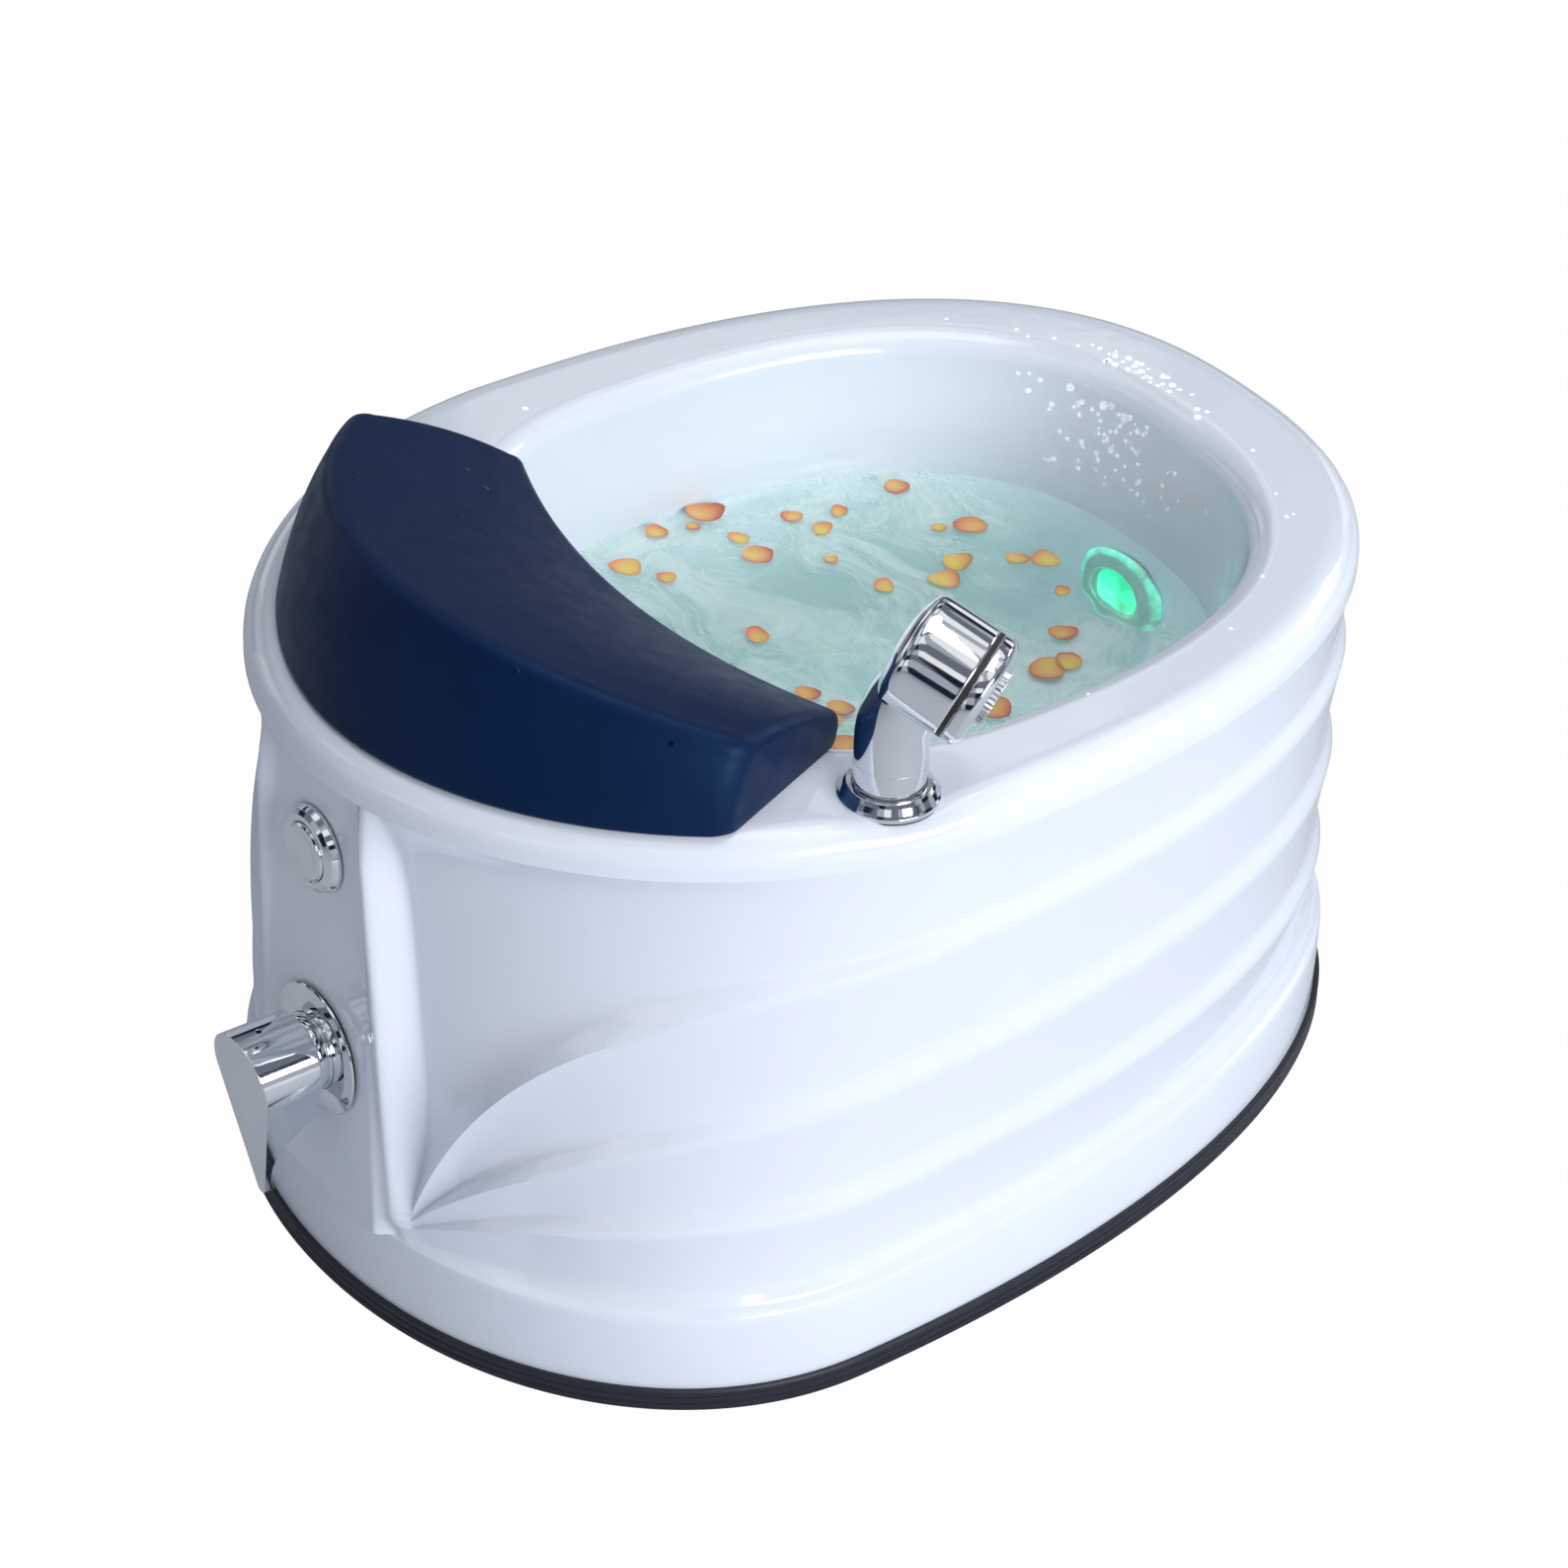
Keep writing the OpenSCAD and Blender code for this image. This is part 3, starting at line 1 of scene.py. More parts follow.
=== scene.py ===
# %% [markdown]
# # A free-standing pedicure foot-spa tub
# The tub is two acrylic mouldings on a plywood board: a basin with a broad rim, and a
# fluted skirt. A moulded foam footrest stands on the rim, with a pull-out sprayer beside
# it, and a lever mixer and an air button sit in the flat panel at the front.
# The CAD frame is loaded first, because every piece below rides on one of its bodies.

import json

import bpy
import numpy as np
from mathutils import Matrix

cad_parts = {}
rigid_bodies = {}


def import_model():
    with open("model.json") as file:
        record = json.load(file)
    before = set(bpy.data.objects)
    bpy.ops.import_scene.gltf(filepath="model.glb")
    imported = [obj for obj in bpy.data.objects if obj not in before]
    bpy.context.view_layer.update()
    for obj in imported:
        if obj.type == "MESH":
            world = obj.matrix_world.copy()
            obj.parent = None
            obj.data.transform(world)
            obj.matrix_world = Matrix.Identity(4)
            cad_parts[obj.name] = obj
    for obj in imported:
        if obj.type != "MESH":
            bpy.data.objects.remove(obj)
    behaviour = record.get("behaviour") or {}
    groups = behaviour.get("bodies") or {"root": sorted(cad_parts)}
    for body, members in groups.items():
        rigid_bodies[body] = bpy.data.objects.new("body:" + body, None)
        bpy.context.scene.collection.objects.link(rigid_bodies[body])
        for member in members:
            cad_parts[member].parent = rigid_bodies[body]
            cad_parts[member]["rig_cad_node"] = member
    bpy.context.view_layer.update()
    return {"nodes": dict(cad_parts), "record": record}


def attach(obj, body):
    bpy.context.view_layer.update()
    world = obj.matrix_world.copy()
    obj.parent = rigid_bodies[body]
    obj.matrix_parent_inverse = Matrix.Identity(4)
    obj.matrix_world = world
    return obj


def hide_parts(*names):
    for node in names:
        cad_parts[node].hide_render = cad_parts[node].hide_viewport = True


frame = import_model()
nodes = frame["nodes"]
MM = 0.001

# %% [markdown]
# ## Camera
# A long lens a good three metres away keeps the oval of the rim from bulging. The camera
# is given by where it looks from (azimuth, elevation, roll round a point over the origin),
# and a small shift frames the tub a little low, as a catalogue page does.

# %% Camera
AZIMUTH, ELEVATION, ROLL = np.radians([52.178, 35.454, 2.807])
DISTANCE, LENS = 3.02956, 134.825
TARGET = np.array([-0.010585, 0.0084, 0.160])
level = np.array([np.cos(AZIMUTH), np.sin(AZIMUTH), 0.0])
back = np.array([level[1] * np.cos(ELEVATION), -level[0] * np.cos(ELEVATION), np.sin(ELEVATION)])
upward = np.cross(back, level)
right = level * np.cos(ROLL) + upward * np.sin(ROLL)
above = upward * np.cos(ROLL) - level * np.sin(ROLL)
camera = bpy.data.objects.new("camera", bpy.data.cameras.new("camera"))
bpy.context.scene.collection.objects.link(camera)
pose = np.eye(4)
pose[:3, :3] = np.stack([right, above, back], axis=1)
pose[:3, 3] = TARGET + back * DISTANCE
camera.matrix_world = Matrix(pose)
camera.data.lens, camera.data.sensor_width = LENS, 36.0
camera.data.shift_x, camera.data.shift_y = -0.01005, 0.02863
bpy.context.scene.camera = camera
print("camera at", np.round(pose[:3, 3], 3))

# %% [markdown]
# ## From a grid of points to a mesh
# Nearly every piece here is a surface of two parameters. Its points are worked out as one
# numpy array of rows and columns, and the same helper turns any such grid into a mesh.

# %% Mesh helpers
def mesh_object(name, points, faces):
    """A smooth-shaded mesh object from an (n, 3) array in metres and a face array."""
    mesh = bpy.data.meshes.new(name)
    mesh.from_pydata(points.tolist(), [], faces.tolist() if hasattr(faces, "tolist") else faces)
    mesh.validate()
    mesh.shade_smooth()
    piece = bpy.data.objects.new(name, mesh)
    bpy.context.scene.collection.objects.link(piece)
    return piece


def grid_faces(rows, columns, wrap_columns=True, start=0):
    """Quads between neighbouring rows of a grid; columns may close on themselves."""
    r = np.arange(rows - 1)[:, None]
    c = np.arange(columns if wrap_columns else columns - 1)[None, :]
    d = (c + 1) % columns
    a = start + r * columns
    return np.stack([a + c, a + d, a + columns + d, a + columns + c], axis=-1).reshape(-1, 4)


def applied(piece):
    """Turns the piece's modifiers into plain mesh."""
    graph = bpy.context.evaluated_depsgraph_get()
    mesh = bpy.data.meshes.new_from_object(piece.evaluated_get(graph))
    piece.modifiers.clear()
    piece.data = mesh
    return piece


def smoothstep(t):
    """3t^2 - 2t^3 between 0 and 1."""
    u = np.clip(t, 0.0, 1.0)
    return u * u * (3 - 2 * u)


def blend(a, b, t):
    """a at t = 0 and b at t = 1."""
    return a * (1 - t) + b * t

# %% [markdown]
# ## Plan outlines
# Seen from above, rim, bowl and base are egg shapes: two half superellipses that share
# their widest line. A superellipse |x/a|^n + |y/b|^n = 1 is rounder than an ellipse for
# n over 2, and its normal is the gradient of that sum, so an outline can be set in or out
# by an exact distance.

# %% Plan outlines
MID, MID_X = 8.9409, -10.5851  # the bowl's middle, in mm from the origin
# Each outline: half width, front, back, place of the widest line, front and back power.
RIM = (225, 249, 342, -52 + MID, 1.92, 2.4)
BASE = (218, 182, 436, -112 + MID, 2.05, 2.15)
BOWL = (168, 150, 227, MID, 2.4, 2.5)
FLOOR = (128, 110, 187, MID, 2.4, 2.5)
PANEL_Y = RIM[3] - RIM[1] + 8  # the panel lies 8 mm behind the rim's foremost point


def outline(plan, angle, out=0.0):
    """Points of a plan outline at angle, moved out along the normal.

    The angle is 0 at the panel and turns through +X."""
    half, front, rear, wide, n_front, n_rear = plan
    s, c = np.sin(angle), np.cos(angle)
    n = np.where(c > 0, n_front, n_rear)
    reach = np.where(c > 0, front, rear)
    u, v = np.abs(s) ** (2 / n) * np.sign(s), np.abs(c) ** (2 / n) * np.sign(c)
    slope_u, slope_v = (np.abs(w) ** (n - 1) * np.sign(w) for w in (u, v))
    normal = np.stack([slope_u / half, -slope_v / reach], -1)
    normal /= np.linalg.norm(normal, axis=-1, keepdims=True)
    return np.stack([MID_X + half * u, wide - reach * v], -1) + normal * np.asarray(out)[..., None]


def stations(plan, number, extra=()):
    """Angles that share the outline's length evenly, with a few more where detail is fine."""
    dense = np.linspace(0, 2 * np.pi, 20001)
    path = outline(plan, dense)
    length = np.concatenate([[0], np.cumsum(np.linalg.norm(np.diff(path, axis=0), axis=1))])
    even = np.interp(np.linspace(0, length[-1], number, endpoint=False), length, dense)
    return np.unique(np.round(np.concatenate([even, *extra]), 6))


def level_ring(xy, z):
    """Plan points lifted to height z."""
    return np.concatenate([xy, np.broadcast_to(np.asarray(z, float), xy.shape[:-1])[..., None]], -1)

# %% [markdown]
# ## The basin
# The basin is vacuum-formed acrylic: one sheet drawn over a mould, so its rim rolls over
# both ways with soft edges and the bowl walls lean. Sections of that sheet are carried
# round the outlines: lip, outer edge, flat of the rim, inner edge, wall, fillet and floor.
# A copy 5 mm inside closes it into a real shell. The CAD solid has the same sections with
# far fewer steps, so this piece replaces it and is only smoother.

# %% Basin sections
RIM_H, EDGE, BOWL_EDGE, LIP, FLOOR_Z, FILLET = 335, 16, 14, 22, 100, 38
ACRYLIC = 5  # thickness of the sheet
DISH_R, DISH_DEEP = 42, 3
WALL_TOP = RIM_H - BOWL_EDGE
SPRAYER = np.array([191 + MID_X, -97 + MID])
DRAIN = np.array([MID_X, 25 + MID])


def wall_outline(angle, z, out):
    """The bowl wall leans: its outline goes evenly from the floor's to the bowl's."""
    t = (z - FLOOR_Z) / (WALL_TOP - FLOOR_Z)
    return blend(outline(FLOOR, angle, out), outline(BOWL, angle, out), t)


def basin_sheet(angle, depth, steps):
    """Rows of the sheet at a depth under its show face, from the lip to the drain."""
    rows = [level_ring(outline(RIM, angle, -depth), RIM_H - LIP)]
    for q in np.linspace(0, np.pi / 2, steps):
        r = EDGE - depth
        rows.append(level_ring(outline(RIM, angle, -EDGE + r * np.cos(q)), RIM_H - EDGE + r * np.sin(q)))
    outer_flat, inner_flat = rows[-1], level_ring(outline(BOWL, angle, BOWL_EDGE), RIM_H - depth)
    rows += [blend(outer_flat, inner_flat, t) for t in np.linspace(0, 1, steps)[1:-1]]
    for q in np.linspace(0, np.pi / 2, steps):
        r = BOWL_EDGE - depth
        rows.append(level_ring(outline(BOWL, angle, BOWL_EDGE - r * np.sin(q)), WALL_TOP + r * np.cos(q)))
    for z in np.linspace(WALL_TOP, FLOOR_Z + FILLET, 2 * steps)[1:]:
        rows.append(level_ring(wall_outline(angle, z, depth), z))
    foot, corner = rows[-1], level_ring(outline(FLOOR, angle, depth), FLOOR_Z - depth)
    inside = level_ring(outline(FLOOR, angle, -FILLET), FLOOR_Z - depth)
    for t in np.linspace(0, 1, steps)[1:]:
        rows.append(foot * (1 - t) ** 2 + corner * 2 * t * (1 - t) + inside * t * t)
    centre = np.array([*DRAIN, FLOOR_Z - depth])
    for t in np.linspace(0, 0.9, steps)[1:]:
        rows.append(blend(inside, centre, t) - [0, 0, 3 * smoothstep(t / 0.6)])
    return np.stack(rows)


def dish(points):
    """A soft dish in the rim where the sprayer stands, deep x (1 - d^2)^2, fading down the lip."""
    d = np.linalg.norm(points[..., :2] - SPRAYER, axis=-1) / DISH_R
    dip = np.where(d < 1, DISH_DEEP * (1 - np.minimum(d, 1) ** 2) ** 2, 0)
    dip = dip * smoothstep((points[..., 2] - RIM_H + EDGE) / (EDGE - 5))
    return points - np.stack([0 * dip, 0 * dip, dip], -1)

# %% Basin shell
def shell(name, show, rear):
    """A closed shell between two grids of the same rows, with the last row capped on each side."""
    rows, columns = show.shape[:2]
    points = np.concatenate([show.reshape(-1, 3), rear.reshape(-1, 3)]) * MM
    outside = grid_faces(rows, columns)[:, ::-1]
    inside = grid_faces(rows, columns, start=rows * columns)
    i = np.arange(columns)
    j = (i + 1) % columns
    edge = np.stack([i, j, rows * columns + j, rows * columns + i], -1)
    caps = [list(i[::-1] + (rows - 1) * columns), list(i + (2 * rows - 1) * columns)]
    return mesh_object(name, points, [*outside.tolist(), *inside.tolist(), *edge.tolist(), *caps])


around = stations(RIM, 420)
basin = shell("basin_shell", *(dish(basin_sheet(around, depth, 9)) for depth in (0, ACRYLIC)))
print("basin:", len(basin.data.polygons), "faces")

# %% [markdown]
# Three fittings pass through the sheet. Each hole is cut with a Boolean, which keeps the
# shell closed, and the fitting's own flange covers the cut edge as on the real tub.

# %% Cutting round holes
def drill(piece, centre, axis, radius, length, name="drill", sides=96):
    """Cuts a round hole of that radius and length through the piece, about centre along axis."""
    axis = np.asarray(axis, float) / np.linalg.norm(axis)
    side = np.cross(axis, [0, 0, 1.0] if abs(axis[2]) < 0.9 else [1.0, 0, 0])
    side /= np.linalg.norm(side)
    t = np.linspace(0, 2 * np.pi, sides, endpoint=False)[:, None]
    circle = radius * (np.cos(t) * side + np.sin(t) * np.cross(axis, side))
    ends = [np.asarray(centre) + circle + axis * k * length / 2 for k in (-1, 1)]
    i = np.arange(sides)
    walls = grid_faces(2, sides).tolist()
    tool = mesh_object(name, np.concatenate(ends) * MM, [*walls, list(i[::-1]), list(i + sides)])
    cut = piece.modifiers.new("hole", "BOOLEAN")
    cut.operation, cut.object, cut.solver = "DIFFERENCE", tool, "EXACT"
    applied(piece)
    bpy.data.objects.remove(tool)


LIGHT_Z = 212
COLLAR_HOLE, LIGHT_HOLE, DRAIN_HOLE = 18.3, 24, 24  # radii
light_lean = np.arctan((BOWL[2] - FLOOR[2]) / (WALL_TOP - FLOOR_Z))
light_centre = np.array([MID_X, wall_outline(np.array([np.pi]), LIGHT_Z, 0)[0, 1], LIGHT_Z])
light_axis = np.array([0, -np.cos(light_lean), np.sin(light_lean)])
drill(basin, [*SPRAYER, RIM_H], [0, 0, 1], COLLAR_HOLE, 60)
drill(basin, light_centre, light_axis, LIGHT_HOLE, 60)
drill(basin, [*DRAIN, FLOOR_Z - 4], [0, 0, 1], DRAIN_HOLE, 60)
basin.data.set_sharp_from_angle(angle=np.radians(40))
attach(basin, "tub")
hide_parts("basin")
print("basin after drilling:", len(basin.data.polygons), "faces")

# %% [markdown]
# ## The skirt
# The skirt is the second moulding. Four broad flutes run round it like overlapping
# shingles: just above each crest the wall steps in, and then eases out to the next crest.
# At the pillars beside the flat panel the crests fan down to one point. One function gives
# the crest heights, one the depth behind the crest outline, and the grid follows both.

# %% Skirt surface
PLINTH, TRIM_WALL, LIP_Z = 56, 3, RIM_H - LIP
PANEL_HALF, FLARE, PILLAR, PILLAR_OUT = 34, 14, 18, 5
CREST_Z = (110, 183, 256)
CREST_RATE = (22, 28, 19)
FAN_Z = PLINTH + 10


def angle_at(x):
    """Angle at which the front of the rim's outline lies x beside its middle."""
    return np.arcsin((x / RIM[0]) ** (RIM[4] / 2))


fan_start = np.degrees(angle_at(PANEL_HALF + FLARE + PILLAR * 0.9))


def from_panel(angle):
    """Degrees round the tub from the pillar, the same on both sides."""
    turn = np.degrees(np.abs((angle + np.pi) % (2 * np.pi) - np.pi))
    return np.maximum(0, turn - fan_start)


def crest_height(k, angle):
    """Crest k climbs from the pillar foot to its height on the sides, as 1 - exp(-d / rate)."""
    return blend(FAN_Z + 5 * k, CREST_Z[k], 1 - np.exp(-from_panel(angle) / CREST_RATE[k]))


def plinth_step(angle):
    """How far the flutes stand behind the plinth: little near the pillars, more on the sides."""
    return blend(1.5, 5, smoothstep(from_panel(angle) / 25))


def crest_outline(angle, z, out):
    """A ruled surface from the base outline at the plinth to the rim outline under the lip."""
    low = outline(BASE, angle, -TRIM_WALL - plinth_step(angle) + out)
    high = outline(RIM, angle, -0.4 + out)
    return blend(low, high, ((z - PLINTH) / (LIP_Z - PLINTH))[..., None])


def band_edges(band, angle):
    """Foot and top of one flute."""
    foot = np.full_like(angle, PLINTH) if band == 0 else crest_height(band - 1, angle)
    top = np.full_like(angle, LIP_Z) if band == 3 else crest_height(band, angle)
    return foot, top


def shingle(v, step):
    """0 at the lower crest, 1 a step above it, easing back to 0 at the upper crest."""
    fall = np.clip((v - step) / (1 - step), 0, 1)
    return smoothstep(v / step) * (1 - fall ** 1.7)


def band_depth(band, angle, v):
    """How far the wall lies behind the crest outline at height share v of a flute."""
    foot, top = band_edges(band, angle)
    room = np.minimum(1, (top - foot) / 34)
    near = 1 - smoothstep(from_panel(angle) / 58)
    side = (4.2 + 3.8 * near) * shingle(v, 0.2)
    if band < 3:
        return side * room
    cove = 15 * (1 - np.abs(2 * v - 1) ** 4.5)
    return blend(side, cove, near) * room


def skirt_rows(angle, inward, per_band):
    """Rows of the skirt's face from the trim to the lip."""
    rows = [level_ring(outline(BASE, angle, -TRIM_WALL - inward), z) for z in (4, 14, 30, PLINTH - 7)]
    for q in np.linspace(0, np.pi / 2, 6)[1:]:
        ledge = 0.25 * (1 - np.cos(q)) * plinth_step(angle)
        rows.append(level_ring(outline(BASE, angle, -TRIM_WALL - inward - ledge), PLINTH - 7 + 6 * np.sin(q)))
    front = np.abs((angle + np.pi) % (2 * np.pi) - np.pi) < np.pi / 2
    for band in range(4):
        foot, top = band_edges(band, angle)
        for v in np.linspace(0, 1, per_band, endpoint=band == 3):
            v = 0.02 if band == 0 and v == 0 else v
            z = blend(foot, top, v)
            widening = FLARE * (LIP_Z - z) / (LIP_Z - PLINTH)
            across = np.abs(crest_outline(angle, z, 0.0)[:, 0] - MID_X)
            past_edge = across - PANEL_HALF - widening
            past_crest = past_edge - PILLAR * 0.5
            fluted = smoothstep(past_crest / (PILLAR * 0.75))
            rib = PILLAR_OUT * np.maximum(0, 1 - (past_crest / (PILLAR * 0.6)) ** 2) ** 2
            rib *= front * smoothstep((z - PLINTH) / 16) * smoothstep((LIP_Z - z) / 26)
            point = crest_outline(angle, z, rib - band_depth(band, angle, v) * fluted - inward)
            flat = np.where(front, 1 - smoothstep(past_edge / (PILLAR * 0.45)), 0)
            point[:, 1] = blend(point[:, 1], PANEL_Y + inward, flat)
            rows.append(level_ring(point, z))
    return np.stack(rows)

# %% Skirt shell
near_panel = angle_at(np.linspace(26, 106, 65))
skirt_angles = stations(RIM, 360, [near_panel, 2 * np.pi - near_panel])


def skirt_sheet(angle, inward):
    """The face, then the tongue that stands up inside the rim's lip."""
    tongue = outline(RIM, angle, -5.3 if inward == 0 else -9.3)
    shoulder = [level_ring(tongue, z) for z in (LIP_Z, RIM_H - EDGE)]
    return np.concatenate([skirt_rows(angle, inward, 16), np.stack(shoulder)])


face, rear = skirt_sheet(skirt_angles, 0), skirt_sheet(skirt_angles, ACRYLIC)
n_rows, n_columns = face.shape[:2]
ring = np.arange(n_columns)
after = (ring + 1) % n_columns
top, low = (n_rows - 1) * n_columns, n_rows * n_columns
lower_rim = np.stack([ring, after, low + after, low + ring], -1)
upper_rim = np.stack([top + after, top + ring, low + top + ring, low + top + after], -1)
sides = [grid_faces(n_rows, n_columns)[:, ::-1], grid_faces(n_rows, n_columns, start=low)]
skirt = mesh_object("skirt_shell", np.concatenate([face.reshape(-1, 3), rear.reshape(-1, 3)]) * MM,
                    np.concatenate([*sides, lower_rim, upper_rim]))
MIXER_HOLE, BUTTON_HOLE = (142, 20.8), (263, 18.3)  # height and radius
for height, radius in (MIXER_HOLE, BUTTON_HOLE):
    drill(skirt, [MID_X, PANEL_Y, height], [0, -1, 0], radius, 60)
skirt.data.set_sharp_from_angle(angle=np.radians(50))
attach(skirt, "tub")
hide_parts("skirt")
print("skirt:", len(skirt.data.polygons), "faces")

# %% [markdown]
# ## The trim
# A black rubber extrusion wraps the foot of the skirt. Its outer face has two shallow
# grooves, so the ring is a small section with those grooves, carried round the base.

# %% Trim ring
section = np.array([[0, 0.4], [0, 3.0], [-0.7, 3.5], [-0.7, 4.1], [0, 4.6], [0, 7.2], [-0.7, 7.7],
                    [-0.7, 8.3], [0, 8.8], [0, 11.0], [-0.9, 12.0], [-2.6, 12.0], [-2.95, 11.5],
                    [-2.95, 4.0], [-7.9, 4.0], [-7.9, 12.0], [-11, 12.0], [-11, 0], [-0.4, 0]])
trim_angles = stations(BASE, 360)
trim_rows = np.stack([level_ring(outline(BASE, trim_angles, out), z) for out, z in section])
trim_faces = grid_faces(len(section) + 1, len(trim_angles)) % (len(section) * len(trim_angles))
trim = mesh_object("trim_ring", trim_rows.reshape(-1, 3) * MM, trim_faces[:, ::-1])
trim.data.set_sharp_from_angle(angle=np.radians(35))
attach(trim, "tub")
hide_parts("base_trim")

# %% [markdown]
# ## The footrest
# The footrest is integral-skin foam: cast in a mould, so it has no seams, and its faces
# are a little crowned between soft edges. Its section is carried along the front of the
# rim; it leans back most in the middle, and its crest falls towards both ends.

# %% Footrest sections
REST_Z, CREST, LOW, SHIFT = RIM_H + 0.3, 76, 15, 9
SWEEP, REACH, END_PULL, END_INSET = 55, 185, 8, 7  # degrees, then mm


def bezier(a, b, c, n):
    """n points of the curve that leaves a towards b and arrives at c."""
    t = np.linspace(0, 1, n)[:, None]
    return a * (1 - t) ** 2 + b * 2 * t * (1 - t) + c * t * t


def rest_section(width, lean, crest):
    """Closed section: outer face, crest, padded slope, inner edge and flat underside."""
    a, b = np.array([0.0, 0]), np.array([lean, crest])
    c, d = np.array([width, LOW]), np.array([width - 4, 0.0])

    def toward(p, q, r):
        return p + (q - p) / np.linalg.norm(q - p) * r

    def bowed(p, q, bow):
        t = np.linspace(0, 1, 16)[1:-1, None]
        side = np.array([-(q - p)[1], (q - p)[0]]) / np.linalg.norm(q - p)
        return blend(p, q, t) + side * bow * 4 * t * (1 - t)

    outer, ridge = (toward(a, d, 5), a, toward(a, b, 5)), (toward(b, a, 10), b, toward(b, c, 11))
    inner, heel = (toward(c, b, 8), c, toward(c, d, 7)), (toward(d, c, 4), d, toward(d, a, 4))
    return np.concatenate([bezier(*outer, 6), bowed(outer[2], ridge[0], 2.6), bezier(*ridge, 10),
                           bowed(ridge[2], inner[0], 3.4), bezier(*inner, 8), bezier(*heel, 5)])


def rest_station(s, pull, inset):
    """One ring: s from -1 to 1 along the rim, pulled back and shrunk where the ends round off."""
    s = s * (1 - pull / REACH)
    outer = outline(RIM, np.radians(s * SWEEP), -10.0) + [SHIFT, 0]
    inner = np.array([136 * s + SHIFT + MID_X, -118 + MID + 29 * s * s])
    width = np.linalg.norm(inner - outer)
    across = (inner - outer) / width
    crest = CREST * (1 - (0.29 if s < 0 else 0.42) * s * s)
    q = rest_section(width, 32 * (1 - 0.43 * s * s), crest)
    reach = blend(q[:, :1], width / 2, 2 * inset / width)
    return level_ring(outer + across * reach, REST_Z + q[:, 1] * (1 - inset / crest))


turn = np.linspace(0, np.pi / 2, 9)
ends = [(END_PULL * (1 - np.cos(t)), END_INSET * (1 - np.sin(t))) for t in turn]
rings = [rest_station(-1, p, i) for p, i in ends]
rings += [rest_station(s, END_PULL, 0) for s in np.linspace(-1, 1, 121)[1:-1]]
rings += [rest_station(1, p, i) for p, i in ends[::-1]]
rest_grid = np.stack(rings)
per = rest_grid.shape[1]
caps = [list(range(per))[::-1], list(range((len(rings) - 1) * per, len(rings) * per))]
rest_faces = [*grid_faces(len(rings), per).tolist(), *caps]
rest = mesh_object("footrest_pad", rest_grid.reshape(-1, 3) * MM, rest_faces)
rest.data.set_sharp_from_angle(angle=np.radians(60))
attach(rest, "footrest")
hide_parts("footrest")
print("footrest:", len(rest.data.polygons), "faces")

# %% [markdown]
# ## The spray head
# The sprayer is one polished casting: a round stem, a neck that leans towards the bowl and a
# drum-shaped head. Stem and neck are a tube carried along a bent line, and the head is
# turned on its own axis. The nozzle behind the dial has a ring of fine ribs.

# %% Turned pieces
HEAD_AZ, HEAD_DIP = np.radians([33, 24])
HEAD_R, HEAD_LEN, HEAD_BACK, HEAD_UP = 29.0, 34.0, 4.5, 89.3
SEAT_Z = RIM_H - DISH_DEEP - 0.8
FACE = HEAD_BACK + HEAD_LEN
lean_way = np.array([np.cos(HEAD_AZ), np.sin(HEAD_AZ), 0.0])
head_axis = lean_way * np.cos(HEAD_DIP) - np.array([0, 0, np.sin(HEAD_DIP)])
head_centre = np.array([*SPRAYER, SEAT_Z + HEAD_UP])


def capped(rows, sides):
    """Faces of a tube of that many rings, closed at both ends."""
    last = (rows - 1) * sides
    return [*grid_faces(rows, sides).tolist(), list(range(sides))[::-1], list(range(last, last + sides))]


def turned(profile, centre, axis, sides=144, ribs=0, rib_depth=0.0, ribbed=(0.0, 0.0)):
    """Points and faces of a profile of (radius, place on the axis) pairs turned about axis.

    Between the two places in ribbed the radius is r - depth (1 - cos(ribs q)) / 2."""
    axis = np.asarray(axis, float) / np.linalg.norm(axis)
    side = np.cross([0, 0, 1.0], axis) if abs(axis[2]) < 0.99 else np.array([1.0, 0, 0])
    side /= np.linalg.norm(side)
    q = np.linspace(0, 2 * np.pi, sides, endpoint=False)
    around = np.cos(q)[:, None] * side + np.sin(q)[:, None] * np.cross(axis, side)
    r, z = np.array(profile, float).T
    cut = np.where((z > ribbed[0]) & (z < ribbed[1]), rib_depth, 0)[:, None] * (1 - np.cos(ribs * q)) / 2
    points = centre + axis * z[:, None, None] + around * (r[:, None] - cut)[..., None]
    return points.reshape(-1, 3), capped(len(r), sides)


def rounded(profile, radius=0.8, steps=4):
    """Rounds the corners of a profile; each corner keeps its place within the radius."""
    p = np.array(profile, float)
    out = [p[0]]
    for a, b, c in zip(p[:-2], p[1:-1], p[2:]):
        r1, r2 = (min(radius, 0.45 * np.linalg.norm(k - b)) for k in (a, c))
        u, v = b + (a - b) / np.linalg.norm(a - b) * r1, b + (c - b) / np.linalg.norm(c - b) * r2
        out += bezier(u, b, v, steps).tolist()
    return np.array([*out, p[-1]])


def assemble(name, *parts):
    """One object from several point and face lists."""
    points, faces, start = [], [], 0
    for some, polygons in parts:
        points.append(some)
        faces += [[start + i for i in f] for f in polygons]
        start += len(some)
    return mesh_object(name, np.concatenate(points) * MM, faces)

